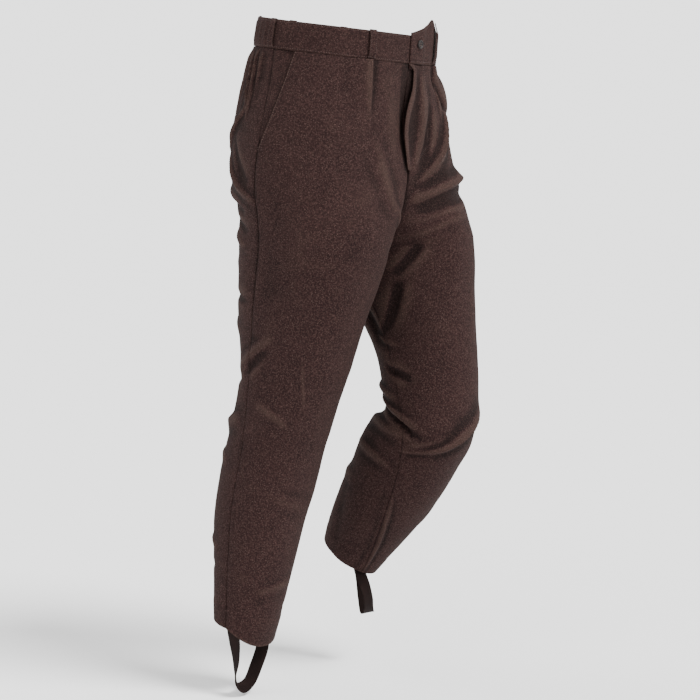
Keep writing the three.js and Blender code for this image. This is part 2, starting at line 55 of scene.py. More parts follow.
# Uniform trousers of heavy brown wool with elastic foot straps, worked out in millimetres
left, right = 1, -1
front, back = 1, -1
words = {left: "left", right: "right"}


# the camera stands where the photograph was taken from
view = {
    "azimuth": -53.0, "elevation": 4.5, "distance": 3010.0, "aimAcross": 8.0, "aimUp": -503.0,
    "lens": 93.8, "sensor": 36.0,
}


def makeCamera():
    azimuth, elevation = math.radians(view["azimuth"]), math.radians(view["elevation"])
    level = math.cos(elevation)
    backward = Vector((math.sin(azimuth) * level, -math.cos(azimuth) * level, math.sin(elevation)))
    aside = view["aimAcross"]
    aim = Vector((aside * math.cos(azimuth), aside * math.sin(azimuth), view["aimUp"])) / 1000
    data = bpy.data.cameras.new("camera")
    data.lens, data.sensor_width = view["lens"], view["sensor"]
    camera = bpy.data.objects.new("camera", data)
    camera.location = aim + backward * view["distance"] / 1000
    camera.rotation_euler = (-backward).to_track_quat("-Z", "Y").to_euler()
    bpy.context.scene.collection.objects.link(camera)
    bpy.context.scene.camera = camera


makeCamera()


# the cut of the cloth and the form that it is worn in
def readTable(names, rows):
    return dict(zip(names.split(), np.array(rows, float).T))


# sections across one leg, at mm along the side seam below the waist seam
cut = {
    "sections": readTable("at out inn front back fork turn", [
        [0, 176, 0, 134, 112, 0.00, 0],
        [60, 187, 0, 135, 133, 0.02, 1],
        [120, 197, 0, 134, 151, 0.09, 3],
        [180, 202, 0, 132, 150, 0.28, 7],
        [225, 203, 0, 132, 143, 0.48, 10],
        [260, 202, 0, 135, 129, 0.68, 11],
        [290, 201, 0, 137, 124, 0.88, 12],
        [310, 201, 1, 137, 121, 1.00, 12],
        [360, 199, 9, 132, 113, 1.00, 13],
        [420, 197, 19, 117, 104, 1.00, 14],
        [520, 194, 31, 92, 84, 1.00, 14],
        [620, 191, 38, 77, 82, 1.00, 9],
        [755, 187, 48, 71, 78, 1.00, 4],
        [850, 184, 60, 61, 64, 1.00, 1],
        [935, 182, 72, 46, 52, 1.00, 0],
        [985, 181, 78, 36, 48, 1.00, 0],
    ]),
    "squareness": 2.15,
    "forkAt": 310.0,
    "hemAt": 935.0,
    "cloth": 1.6,
    "seamGap": 0.3,
    "underGap": 0.9,
}

# where each leg's sections lie, how they pitch, how much of their depth is left and how they twist
poseNames = "at y z pitch aside front back twist"
pose = {
    right: readTable(poseNames, [
        [0, 5, -22, 8, 0, 1, 1, 0],
        [120, 3, -142, 6, 0, 1, 1, 0],
        [225, -2, -247, 5, 0, 1, 1, 0],
        [300, -8, -322, 6, 0, 0.97, 1, 0],
        [360, 0, -382, 8, 0, 0.91, 1, 0],
        [420, 9, -442, 8, 0, 0.93, 1, 0],
        [520, 24, -540, 8, 0, 0.96, 0.96, 0],
        [620, 47, -639, 10, 0, 1, 1, 0],
        [755, 79, -771, 12, 6, 1, 1, 0],
        [850, 92, -864, 12, 8, 1, 1, 0],
        [935, 99, -948, 12, 8, 1, 1, 0],
        [985, 103, -998, 12, 8, 1, 1, 0],
    ]),
    left: readTable(poseNames, [
        [0, 5, -22, 8, 0, 1, 1, 0],
        [120, -5, -142, 4, 0, 1, 1, 0],
        [180, -12, -202, 1, 0, 1, 1, 0],
        [225, -19, -246, -2, 0, 1, 1, 0],
        [300, -25, -319, -6, 0, 1.03, 0.9, 0],
        [400, -43, -414, -10, 0, 1.05, 0.75, 0],
        [500, -70, -512, -6, 0, 1.06, 0.66, 0],
        [560, -82, -570, 6, 0, 1.07, 0.78, 0],
        [620, -85, -628, 24, 0, 1.05, 0.86, 4],
        [680, -65, -676, 34, 0, 1.01, 1.15, 14],
        [800, 3, -772, 36, 0, 1, 1.08, 36],
        [935, 76, -868, 34, 0, 1, 1.06, 55],
        [985, 104, -902, 34, 0, 1, 1, 58],
    ]),
    "seat": readTable(poseNames, [
        [0, 5, -22, 8, 0, 1, 1, 0],
        [120, 3, -142, 5, 0, 1, 1, 0],
        [225, -2, -247, 3, 0, 1, 1, 0],
        [310, -6, -332, 0, 0, 1, 1, 0],
        [985, -6, -997, 0, 0, 1, 1, 0],
    ]),
    "seatReach": 0.45,
    "seatFade": 130.0,
}


def smooth(t):
    x = np.clip(t, 0, 1)
    return x * x * (3 - 2 * x)


def bell(t):
    return np.where(np.abs(t) < 1, 0.5 + 0.5 * np.cos(np.pi * np.clip(t, -1, 1)), 0)


def along(rows, name, at):
    # a smooth curve through one column of a table
    xs, ys = rows["at"], rows[name]
    spans = np.diff(xs)
    slopes = np.diff(ys) / spans
    inner = (slopes[:-1] * spans[1:] + slopes[1:] * spans[:-1]) / (spans[1:] + spans[:-1])
    tangents = np.concatenate(([slopes[0]], inner, [slopes[-1]]))
    k = np.clip(np.searchsorted(xs, at, side="left") - 1, 0, len(xs) - 2)
    h = spans[k]
    t = (at - xs[k]) / h
    rest = 1 - t
    return ((1 + 2 * t) * rest * rest * ys[k] + t * rest * rest * h * tangents[k]
            + t * t * (3 - 2 * t) * ys[k + 1] - t * t * rest * h * tangents[k + 1])


def sectionPoint(half, at, share):
    # distance from the middle, and depth behind the section's centre
    rows = cut["sections"]
    out, inn = along(rows, "out", at), along(rows, "inn", at)
    fork = np.where(at >= cut["forkAt"], 1, np.clip(along(rows, "fork", at), 0, 1))
    radius = (out - inn) / (1 + fork)
    power = 2 / cut["squareness"]
    end = np.pi - np.arccos(np.clip(fork ** (1 / power), 0, 1))
    angle = half * share * end - np.radians(along(rows, "turn", at)) * (1 - share)
    depth = np.where(angle > 0, along(rows, "front", at), along(rows, "back", at))
    c = np.cos(angle)
    across = out - radius * (1 - np.sign(c) * np.abs(c) ** power)
    return across, -np.sign(angle) * depth * np.abs(np.sin(angle)) ** power, (out + inn) / 2, out


def placeSection(rows, at, across, depth, middle):
    pitch, twist = np.radians(along(rows, "pitch", at)), np.radians(along(rows, "twist", at))
    deep = depth * np.where(depth > 0, along(rows, "back", at), along(rows, "front", at))
    wide = across - middle
    turnedWide = wide * np.cos(twist) - deep * np.sin(twist)
    turnedDeep = wide * np.sin(twist) + deep * np.cos(twist)
    return np.stack((middle + turnedWide + along(rows, "aside", at),
                     along(rows, "y", at) + turnedDeep * np.cos(pitch),
                     along(rows, "z", at) + turnedDeep * np.sin(pitch)), -1)


def formPoint(side, half, at, share):
    # the smooth form of a leg, before pleats, gathers and creases
    at, share = np.broadcast_arrays(np.asarray(at, float), np.asarray(share, float))
    across, depth, middle, out = sectionPoint(half, at, share)
    seat = placeSection(pose["seat"], at, across, depth, middle)
    leg = placeSection(pose[side], at, across, depth, middle)
    nearSide = smooth(across / (pose["seatReach"] * out))
    weight = nearSide + (1 - nearSide) * smooth((at - cut["forkAt"]) / pose["seatFade"])
    p = seat + (leg - seat) * weight[..., None]
    p[..., 0] = side * np.maximum(p[..., 0], 0)
    return p


def unit(v):
    return v / np.maximum(np.linalg.norm(v, axis=-1, keepdims=True), 1e-9)


def formNormal(side, half, at, share):
    at, share = np.broadcast_arrays(np.asarray(at, float), np.asarray(share, float))
    step = 0.0005
    further, nearer = np.minimum(share + step, 1), np.maximum(share - step, 0)
    across = formPoint(side, half, at, further) - formPoint(side, half, at, nearer)
    top = np.maximum(at - 1, 0)
    down = formPoint(side, half, top + 2, share) - formPoint(side, half, top, share)
    return unit(np.cross(across, down)) * side * half


widthRows = {}


def panelWidth(half, at):
    # the width of a panel, from the side seam round to the centre or inseam
    if half not in widthRows:
        ats = np.linspace(0, 1000, 251)
        across, depth = sectionPoint(half, ats[:, None], np.linspace(0, 1, 25)[None, :])[:2]
        widthRows[half] = (ats, np.hypot(np.diff(across, axis=1), np.diff(depth, axis=1)).sum(1))
    return np.interp(at, *widthRows[half])


# folds: each is a ridge, or a trough where high is below 0, from one place on a leg to another.
# s runs round the leg: 0 is the side seam, 1 the inseam by the front and -1 by the back.
# bow is its sideways curve in mm, lean steepens one flank, and sharp is 0 for a soft crest
foldNames = "at s toAt toS wide high bow lean sharp"
folds = {
    right: readTable(foldNames, [
        [2, -0.19, 120, -0.165, 9, 7, 0, 0.2, 0.7],
        [88, -0.15, 176, -0.48, 12, 7.5, -5, 0.3, 0.6],
        [2, -0.29, 104, -0.21, 8, 6.5, 3, 0.1, 0.6],
        [6, -0.24, 96, -0.19, 7, -4, 0, 0, 0.3],
        [8, -0.345, 104, -0.29, 8, -4, 0, 0, 0.3],
        [3, -0.12, 62, -0.13, 6, 2.4, 0, 0, 0.6],
        [3, -0.40, 118, -0.43, 11, 4, 2, 0, 0.5],
        [3, -0.50, 84, -0.49, 8, 3, 0, 0.2, 0.6],
        [158, -0.45, 244, 0.02, 15, 7, -8, 0.35, 0.6],
        [140, -0.32, 216, -0.05, 16, -4, -6, 0, 0],
        [236, -0.44, 262, -0.12, 14, -3.5, -3, 0, 0],
        [206, -0.62, 246, -0.20, 18, 6, -4, 0.2, 0.5],
        [268, -0.40, 292, -0.08, 12, -5, 0, 0, 0.2],
        [286, -0.40, 314, -0.08, 13, 4.5, -4, 0.2, 0.5],
        [296, -0.70, 352, -0.22, 21, 4.4, -6, 0.2, 0.3],
        [392, -0.42, 402, -0.02, 13, -3.5, 0, 0, 0.1],
        [412, -0.54, 452, -0.12, 19, 3.6, -4, 0.2, 0.3],
        [446, 0.13, 506, -0.14, 15, 4.0, 3, 0.3, 0.5],
        [470, 0.10, 522, -0.06, 12, -3.2, 0, 0, 0.2],
        [500, -0.72, 532, -0.08, 20, -8, 0, 0, 0.2],
        [628, -0.72, 584, -0.04, 24, 8, -4, 0.3, 0.4],
        [556, 0.04, 590, 0.30, 16, 1.9, 4, 0.2, 0.4],
        [468, 0.28, 566, 0.37, 7, 1.5, 0, 0, 0.9],
        [120, 0.73, 270, 0.82, 26, 3.2, 5, 0.2, 0.2],
        [220, 0.80, 330, 0.98, 15, 3, -4, 0.2, 0.4],
        [330, 0.94, 420, 0.72, 22, 3, 5, 0.2, 0.2],
        [230, -0.97, 330, -0.60, 26, 3.4, 8, 0.2, 0.2],
        [336, -0.99, 410, -0.52, 24, 3, 6, 0.2, 0.2],
        [640, -0.60, 668, -0.10, 18, 3.4, -3, 0.2, 0.4],
        [700, 0.20, 726, 0.62, 22, 1.5, 3, 0, 0.2],
        [792, -0.56, 812, -0.10, 13, 3, 0, 0.2, 0.5],
        [838, -0.62, 846, -0.16, 12, -2.8, 0, 0, 0.2],
        [868, 0.22, 846, 0.70, 16, 1.6, 3, 0.2, 0.3],
        [900, 0.66, 872, 1.00, 12, -2.6, 0, 0, 0.2],
    ]),
    left: readTable(foldNames, [
        [6, 0.88, 190, 0.98, 20, 10, -4, 0.3, 0.5],
        [4, 0.75, 90, 0.53, 16, -7, 8, 0, 0.3],
        [14, 0.56, 96, 0.46, 34, 8, 8, 0, 0.1],
        [58, 0.56, 205, 0.95, 17, 11, -10, 0.3, 0.8],
        [60, 0.82, 176, 0.94, 14, -6, -4, 0, 0.2],
        [172, 0.20, 236, 1.04, 22, 12, -4, -0.45, 0.7],
        [218, 0.34, 254, 0.96, 22, -6, -4, 0, 0.1],
        [262, 0.46, 302, 0.98, 18, 1.6, -4, -0.2, 0.4],
        [304, 0.78, 368, 0.87, 17, -5, 0, 0, 0.1],
        [372, 0.84, 470, 1.02, 19, -6, 0, 0, 0.2],
        [462, -0.90, 486, -1.06, 9, 4, 0, 0.3, 0.7],
        [364, -0.86, 492, -0.94, 30, -9, 0, 0, 0],
        [10, 0.52, 84, 0.44, 26, 5, 0, 0, 0],
        [84, 0.56, 132, 0.36, 22, -6, 0, 0, 0],
        [236, 0.34, 400, 0.34, 34, -4, 0, 0, 0],
        [516, -0.92, 540, -1.10, 15, -5.5, 0, 0, 0.2],
        [540, -0.40, 574, -1.02, 17, 5, 0, -0.2, 0.4],
        [576, -0.66, 606, -1.10, 11, 5, 0, -0.4, 0.7],
        [592, -0.34, 622, -1.14, 12, -12, 0, 0, 0.6],
        [606, -0.90, 628, -1.08, 9, -8, 0, 0, 0.2],
        [632, -1.02, 676, -0.40, 20, 6, 6, 0.35, 0.3],
        [700, -0.98, 720, -0.52, 15, 4, 3, 0.2, 0.5],
        [570, 0.28, 666, 1.04, 18, 11, 0, -0.45, 0.8],
        [604, 0.60, 662, 1.00, 15, -6.5, 0, 0, 0.2],
                [548, 0.10, 592, -0.28, 20, 6, 4, 0.3, 0.5],
        [584, 0.22, 622, -0.24, 15, -5.5, 0, 0, 0.2],
        [622, 0.16, 640, -0.32, 17, 3.6, 0, 0.2, 0.5],
        [768, -0.72, 790, -0.22, 20, 2.8, 0, 0.2, 0.3],
                [752, -0.43, 960, -0.42, 46, 8, 0, 0, 0],
        [728, 1.00, 960, 1.00, 11, 6, 0, -0.3, 0.9],
        [744, 0.40, 800, 0.66, 24, 2.6, 3, 0, 0.2],
        [2, -0.18, 118, -0.17, 9, 4.5, 0, 0.2, 0.7],
        [2, -0.30, 96, -0.22, 9, 4, 3, 0.1, 0.6],
        [3, -0.42, 126, -0.46, 11, 4, 2, 0, 0.5],
        [3, -0.51, 80, -0.50, 8, 3, 0, 0.2, 0.6],
        [150, -0.50, 248, -0.04, 16, 6, -8, 0.35, 0.5],
        [240, -0.56, 300, -0.10, 18, -3.5, -4, 0, 0.1],
        [292, -0.96, 330, -0.40, 24, 3.4, 4, 0.2, 0.2],
        [352, -0.70, 436, -0.30, 26, 2.8, 6, 0.2, 0.2],
        [448, -0.72, 486, -0.20, 22, 3, 4, 0.2, 0.2],
    ]),
}

foldWidth, foldTaper = 0.85, 1.2  # of what the tables say, and how a fold runs out at its ends

# unevenness of the cloth between the folds: size of the waves and their height
unevenness = {"broadSize": 66.0, "broadHigh": 1.9, "fineSize": 21.0, "fineHigh": 0.4, "seed": 11}


def roundMm(at, s):
    # the distance round the leg from the side seam, in mm, negative by the back
    wf, wb = panelWidth(front, at), panelWidth(back, at)
    inside = np.where(s >= 0, s * wf, s * wb)
    return np.where(s > 1, wf + (s - 1) * wb, np.where(s < -1, -wb + (s + 1) * wf, inside))


def foldHeight(row, at, mm):
    a0, a1 = row["at"], row["toAt"]
    m0, m1 = float(roundMm(a0, row["s"])), float(roundMm(a1, row["toS"]))
    long = math.hypot(a1 - a0, m1 - m0)
    dirAt, dirMm = (a1 - a0) / long, (m1 - m0) / long
    da, dm = at - a0, mm - m0
    t = np.clip((da * dirAt + dm * dirMm) / long, 0, 1)
    off = dm * dirAt - da * dirMm - row["bow"] * (1 - (2 * t - 1) ** 2)
    q = np.minimum(np.abs(off / (foldWidth * row["wide"] * (1 - np.sign(off) * row["lean"]))), 1)
    crest = (1 - row["sharp"]) * (1 - q * q) ** 2 + row["sharp"] * (1 - q) ** 2
    return row["high"] * (1 - (2 * t - 1) ** 2) ** foldTaper * crest


def legFolds(side, at, mm):
    table = folds[side]
    whole = panelWidth(front, at) + panelWidth(back, at)
    total = np.zeros(np.broadcast(at, mm).shape)
    for i in range(len(table["at"])):
        row = {name: table[name][i] for name in table}
        total = total + foldHeight(row, at, mm)
        for turn in (-1, 1):  # the same fold where it passes the inseam, below the fork
            total = total + foldHeight(row, at, mm + turn * whole) * (at > cut["forkAt"])
    return total


def softNoise(points, size, seed):
    lattice = np.random.default_rng(seed).uniform(-1, 1, (24, 24, 24))
    q = points / size + 100
    cell = np.floor(q).astype(int)
    f = q - cell
    f = f * f * (3 - 2 * f)
    total = 0
    for i in (0, 1):
        for j in (0, 1):
            for k in (0, 1):
                step = np.array((i, j, k))
                weight = np.abs(1 - step - f).prod(-1)
                total = total + weight * lattice[tuple(np.moveaxis((cell + step) % 24, -1, 0))]
    return total


# pleats, gathers and the fly
pleat = {"share": 0.71, "long": 125.0, "deep": 5.0, "spread": 0.2}
gathers = {
    "start": 0.075, "end": 0.525, "count": 5, "rise": 22.0, "long": 150.0, "high": 2.7,
    "fineCount": 13, "fineLong": 70.0, "fineHigh": 1.2, "wander": 0.012, "wanderLong": 17.0, "bandRipple": 1.1,
}
fly = {
    "long": 178.0, "lift": 2.1, "gape": 7.0, "gapeAt": 93.0, "gapeReach": 110.0, "reach": 30.0,
    "fade": 23.0, "dip": 9.0, "dipReach": 42.0, "topLap": 1.5, "lap": 15.0, "lapAt": 122.0, "lapReach": 90.0,
    "topBack": 10.0, "topBackLong": 52.0, "topBackFrom": 12.0, "curl": 4.0, "curlIn": 4.0, "curlWide": 6.0,
    "sink": 6.0, "sinkWide": 18.0, "dark": 2.5, "darkReach": 20.0, "darkPast": 12.0,
    "shieldWide": 38.0, "shieldShort": 10.0,
}


def pleatHeight(at, share):
    before = pleat["share"] - share
    rise = pleat["deep"] * smooth(1 - before / pleat["spread"]) * smooth(1 - at / pleat["long"])
    return np.where((before < 0) | (before > pleat["spread"]), 0, rise)


def gatherWave(share, count):
    t = (share - gathers["start"]) / (gathers["end"] - gathers["start"])
    wave = np.sin(np.pi * count * t) ** 2 * smooth(6 * t) * smooth(6 * (1 - t))
    return np.where((t <= 0) | (t >= 1), 0, wave)


def gatherHeight(at, share):
    main = gathers["high"] * gatherWave(share, gathers["count"]) * smooth(1 - at / gathers["long"])
    wandering = share + gathers["wander"] * np.sin(at / gathers["wanderLong"])
    fine = gathers["fineHigh"] * gatherWave(wandering, gathers["fineCount"]) * smooth(1 - at / gathers["fineLong"])
    return (main + fine) * smooth(at / gathers["rise"])


def flyMiddle(at):
    return bell((at - fly["gapeAt"]) / fly["gapeReach"])


def flyLift(at, share):
    reach = smooth((share - 1) * panelWidth(front, at) / fly["reach"] + 1)
    return (fly["lift"] + fly["gape"] * flyMiddle(at)) * reach * smooth((fly["long"] + fly["fade"] - at) / fly["fade"])


def flyLap(at):
    drawnBack = fly["topBack"] * np.exp(-(at / fly["topBackLong"]) ** 2) * smooth(at / fly["topBackFrom"])
    return fly["topLap"] + fly["lap"] * bell((at - fly["lapAt"]) / fly["lapReach"]) - drawnBack


def flyDip(at, share):
    return -fly["dip"] * flyMiddle(at) * bell((1 - share) * panelWidth(front, at) / fly["dipReach"])


centreCalm = {"wide": 24.0, "from": 20.0, "fade": 60.0}  # folds keep off the centre seams, down to the fork


def panelHeight(side, half, at, share):
    height = pleatHeight(at, share) + flyDip(at, share) if half == front else gatherHeight(at, share)
    offCentre = smooth((1 - share) * panelWidth(half, at) / centreCalm["wide"])
    below = smooth((at - cut["forkAt"] - centreCalm["from"]) / centreCalm["fade"])
    offCentre = offCentre + (1 - offCentre) * below
    bounded = np.clip(share, 0, 1)
    mm = half * bounded * panelWidth(half, at)
    form = formPoint(side, half, at, bounded)
    broad = unevenness["broadHigh"] * softNoise(form, unevenness["broadSize"], unevenness["seed"])
    fine = unevenness["fineHigh"] * softNoise(form, unevenness["fineSize"], unevenness["seed"] + 1)
    height = height + offCentre * (legFolds(side, at, mm) + (broad + fine) * smooth(at / 60 + 0.2))
    if half == front:
        past = (share - 1) * panelWidth(front, at)
        if side == left:
            edge = np.exp(-((past - flyLap(at) + fly["curlIn"]) / fly["curlWide"]) ** 2)
            height = height + flyLift(at, share) + fly["curl"] * flyMiddle(at) * edge * (at < fly["long"])
        else:
            height = height - fly["sink"] * flyMiddle(at) * bell(past / fly["sinkWide"])
    return height


def liftedPoint(side, half, at, share, height):
    # a point above the form, where a share past 1 goes on over the other side's front
    at, share, height = np.broadcast_arrays(np.asarray(at, float), np.asarray(share, float), height)

    def raised(side, share):
        share = np.minimum(share, 1)
        return formPoint(side, half, at, share) + formNormal(side, half, at, share) * height[..., None]

    own = raised(side, share)
    if (share <= 1).all():
        return own
    return np.where((share > 1)[..., None], raised(-side, 2 - share), own)


# meshes
def newMesh(name, points, faces, uvs=None, shades=None):
    mesh = bpy.data.meshes.new(name)
    mesh.from_pydata((np.asarray(points).reshape(-1, 3) / 1000).tolist(), [], faces.tolist())
    if shades is not None:
        mesh.attributes.new("crest", "FLOAT", "POINT").data.foreach_set("value", np.ravel(shades).astype(np.float32))
    if uvs is not None:
        layer = mesh.uv_layers.new(name="cloth")
        corners = np.empty(len(mesh.loops), np.int32)
        mesh.loops.foreach_get("vertex_index", corners)
        layer.data.foreach_set("uv", (np.asarray(uvs).reshape(-1, 2)[corners] / 1000).astype(np.float32).ravel())
    piece = bpy.data.objects.new(name, mesh)
    bpy.context.scene.collection.objects.link(piece)
    bm = bmesh.new()
    bm.from_mesh(mesh)
    if bm.calc_volume(signed=True) < 0:
        bmesh.ops.reverse_faces(bm, faces=bm.faces)
    bm.to_mesh(mesh)
    bm.free()
    mesh.shade_smooth()
    return piece


def wall(name, outer, inner, uvs, shades=None):
    # a closed wall between an outer and an inner grid of points
    rows, columns = outer.shape[:2]
    index = np.arange(rows * columns).reshape(rows, columns)
    behind = index + rows * columns
    skin = np.stack((index[:-1, :-1], index[1:, :-1], index[1:, 1:], index[:-1, 1:]), -1).reshape(-1, 4)
    rims = []
    for a, b in ((index[:, 0], behind[:, 0]), (behind[:, -1], index[:, -1]), (behind[0], index[0]), (index[-1], behind[-1])):
        rims.append(np.stack((a[:-1], b[:-1], b[1:], a[1:]), -1))
    faces = np.concatenate([skin, skin[:, ::-1] + rows * columns] + rims)
    shades = np.zeros((rows, columns)) if shades is None else shades
    return newMesh(name, np.concatenate((outer.reshape(-1, 3), inner.reshape(-1, 3))), faces,
                   np.concatenate((uvs.reshape(-1, 2),) * 2), np.concatenate((shades.ravel(), shades.ravel())))


def blurred(values, cells):
    for axis in (0, 1):
        spread = [(cells + 1, cells) if axis == i else (0, 0) for i in (0, 1)]
        total = np.cumsum(np.pad(values, spread, "edge"), axis)
        run, count = 2 * cells + 1, values.shape[axis]
        ends, starts = np.arange(count) + run, np.arange(count)
        values = (np.take(total, ends, axis) - np.take(total, starts, axis)) / run
    return values


def crests(height, cells=3, fullHeight=0.9):
    # how far a place stands out of its surroundings, from -1 to 1, where fullHeight mm is all the way
    return np.clip((height - blurred(blurred(height, cells), cells)) / fullHeight, -1, 1)


def edgeRound(distance, radius):
    # how far a rounded edge falls away at a distance from it
    d = np.clip(distance / radius, 0, 1)
    return radius * (1 - np.sqrt(1 - (1 - d) ** 2))


edgeFull = 0.98  # a rounded edge leaves a thin rim, so that the wall stays closed


def evenly(start, end, step):
    return np.linspace(start, end, max(2, int(round((end - start) / step)) + 1))


def edged(values, margin=(0.25, 0.7, 1.4)):
    # a run of places with closer ones near its two ends
    first, last = values[0], values[-1]
    inner = values[(values > first + 2 * margin[-1]) & (values < last - 2 * margin[-1])]
    return np.concatenate(([first], [first + m for m in margin], inner, [last - m for m in margin[::-1]], [last]))


# the four panels
panelCut = {
    "cell": 3.2, "pocketTop": 40.0, "pocketLong": 158.0, "hemDrop": {right: 26.0, left: 6.0}, "hemDropFrom": 780.0,
    "seamDip": 0.9, "seamWide": 2.6, "hemFold": 34.0, "hemThick": 0.7, "edgeShare": 0.3, "rubAndHighlightWide": 2.2,
    "sidePressed": 0.6, "insidePressed": 0.72, "pressedFrom": 320.0, "pressedFade": 200.0,
}


def hemDrop(side, half, at, share):
    if half == back:
        return 0 * at * share
    near = np.clip((at - panelCut["hemDropFrom"]) / (cut["hemAt"] - panelCut["hemDropFrom"]), 0, None)
    return panelCut["hemDrop"][side] * near * near * np.sin(np.pi * np.clip(share, 0, 1) ** 1.1)


def pocketEdge(at):
    return panelCut["pocketTop"] * np.maximum(0, 1 - at / panelCut["pocketLong"])


def panelEnds(side, half, at):
    # the shares at which a panel starts and ends, at mm down the leg
    width = panelWidth(half, at)
    inset = cut["seamGap"] / 2 / width
    start = inset + (pocketEdge(at) / width if half == front else 0)
    end = 1 - inset
    if side == left and half == front:
        end = np.where(at < fly["long"], 1 + flyLap(at) / width, end)
    return start, end


def makePanel(side, half):
    name = ("front_" if half == front else "back_") + words[side]
    rows = edged(evenly(cut["seamGap"] / 2, cut["hemAt"], panelCut["cell"]))
    wide = panelWidth(half, 250.0)
    columns = edged(evenly(0, wide, panelCut["cell"])) / wide
    start, end = panelEnds(side, half, rows)
    edge = panelCut["edgeShare"]
    spread = columns[None, :] + 0 * rows[:, None]
    share = np.where(spread < edge, start[:, None] + (edge - start[:, None]) * spread / edge, spread)
    share = np.where(spread > 1 - edge, end[:, None] - (end[:, None] - 1 + edge) * (1 - spread) / edge, share)
    low = rows[:, None] + hemDrop(side, half, rows[:, None], share)
    width = panelWidth(half, low)
    height = panelHeight(side, half, low, share)
    # the relief of the cloth becomes the crest attribute, which the wool paints as painted shade in the hollows and
    # lighter ridges, partly wear and partly painted highlight
    shades = crests(height)
    fromStart, fromEnd = (share - start[:, None]) * width, (end[:, None] - share) * width
    fromHem, fromTop = cut["hemAt"] - rows[:, None], rows[:, None] - rows[0]
    sewnStart = (rows[:, None] > panelCut["pocketLong"]) if half == front else True
    sewnEnd = (rows[:, None] > fly["long"]) if half == front else True
    # the inseams are pressed open and hardly show, and the side seams show less down the leg
    sideShow = 1 - panelCut["sidePressed"] * smooth((rows[:, None] - panelCut["pressedFrom"]) / panelCut["pressedFade"])
    insideShow = 1 - panelCut["insidePressed"] * (rows[:, None] > cut["forkAt"])
    seams = np.exp(-(fromStart / panelCut["seamWide"]) ** 2) * sewnStart * sideShow
    seams = seams + np.exp(-(fromEnd / panelCut["seamWide"]) ** 2) * sewnEnd * insideShow
    height = height - panelCut["seamDip"] * seams + panelCut["hemThick"] * smooth((panelCut["hemFold"] + 3 - fromHem) / 6)
    rim = cut["cloth"] / 2
    nearest = np.minimum(np.minimum(fromStart, fromEnd), np.minimum(fromHem, fromTop))
    fall = edgeRound(nearest, rim) * edgeFull
    outer = liftedPoint(side, half, low, share, height - fall)
    inner = liftedPoint(side, half, low, share, height - cut["cloth"] + fall)
    uvs = np.stack((half * share * width + (0 if side == right else 500), -low + 0 * share), -1)
    # a free edge, at the hem, the pocket and the fly, is painted lighter, partly rubbed wear and partly a painted
    # highlight along the edge
    free = np.exp(-(fromHem / panelCut["rubAndHighlightWide"]) ** 2)
    for distance, sewn in ((fromStart, sewnStart), (fromEnd, sewnEnd)):
        free = free + np.exp(-(distance / panelCut["rubAndHighlightWide"]) ** 2) * np.logical_not(sewn)
    shades = shades - 0.8 * seams + 0.9 * free
    if half == front and side == right:
        # the cloth under the open fly edge lies in the dark
        under = smooth((share - 1) * width / fly["darkReach"] + 1)
        shades = shades - fly["dark"] * under * smooth((fly["long"] + fly["darkPast"] - low) / fly["darkReach"])
    return wall(name + "_cloth", outer, inner, uvs, np.clip(shades, -1, 1))


panels = {(side, half): makePanel(side, half) for side in (right, left) for half in (front, back)}
print("trousers: panels made,", sum(len(p.data.polygons) for p in panels.values()), "faces")


# pocket facings and the fly shield
facing = {"lap": 16.0, "tail": 6.0, "hemmed": 8.0, "cell": 3.0, "shade": 0.5, "shadeWide": 16.0}
facingLong = panelCut["pocketLong"] - facing["tail"] - facing["hemmed"]
shieldLong = fly["long"] - fly["shieldShort"] - 6


def makeStrip(name, side, rows, acrossAt, heightAt, shadeAt):
    at = rows[:, None]
    mm = acrossAt(at)
    share = mm / panelWidth(front, at)
    height = heightAt(at, share, mm)
    at = at + 0 * mm
    outer, inner = (liftedPoint(side, front, at, share, height - depth) for depth in (0, cut["cloth"]))
    return wall(name, outer, inner, np.stack((mm, -at), -1), shadeAt(at, mm) + 0 * mm)


def makeFacing(side):
    rows = evenly(cut["seamGap"] / 2, facingLong, facing["cell"])
    steps = np.linspace(0, 1, 14)[None, :]

    def acrossAt(at):
        return cut["seamGap"] / 2 + (pocketEdge(at) + facing["lap"]) * steps

    def heightAt(at, share, mm):
        edge = np.maximum(pocketEdge(at), 1)
        dip = panelCut["seamDip"] * np.exp(-(mm / panelCut["seamWide"]) ** 2)
        return panelHeight(side, front, at, share) - (cut["cloth"] + cut["underGap"]) * np.minimum(1, mm / edge) - dip

    def shadeAt(at, mm):
        return -facing["shade"] * smooth(1 - (pocketEdge(at) - mm) / facing["shadeWide"])

    return makeStrip("pocket_facing_" + words[side] + "_cloth", side, rows, acrossAt, heightAt, shadeAt)


def makeShield():
    rows = evenly(cut["seamGap"] / 2, shieldLong, facing["cell"])

    def acrossAt(at):
        return panelWidth(front, at) - np.linspace(fly["shieldWide"], cut["seamGap"] / 2, 14)[None, :]

    def heightAt(at, share, mm):
        return flyDip(at, share) - cut["cloth"] - cut["underGap"]

    def shadeAt(at, mm):
        return -1  # it lies in the dark under the fly

    return makeStrip("fly_shield_cloth", left, rows, acrossAt, heightAt, shadeAt)


facings = {side: makeFacing(side) for side in (right, left)}
shield = makeShield()


# the waistband
band = {
    "high": 45.0, "wall": 2.6, "lean": 3.0, "underlap": 26.0, "step": 12.0, "proud": 0.4, "backRise": 2.0,
    "cell": 2.6, "rim": 1.3, "puff": 0.5, "puffWide": 5.0, "stitchIn": 3.0, "stitchSink": 0.35, "stitchWide": 1.2,
    "rippleReach": 0.7, "fineRipple": 0.45, "fineReach": 0.62, "wander": 0.004, "wanderLong": 6.0, "edgeWorn": 0.6,
    "leftRise": readTable("at up", [
        [0, 0], [0.50, 2], [0.62, 7], [0.70, 18], [0.77, 29], [0.83, 20], [0.90, 13], [1, 4],
    ]),
}


def bandRise(side, half, share):
    # a little higher at the back, and pulled up beside the left front's loop
    if half == back:
        return band["backRise"] * smooth(share * 2)
    return (side == left) * along(band["leftRise"], "up", np.minimum(share, 1))


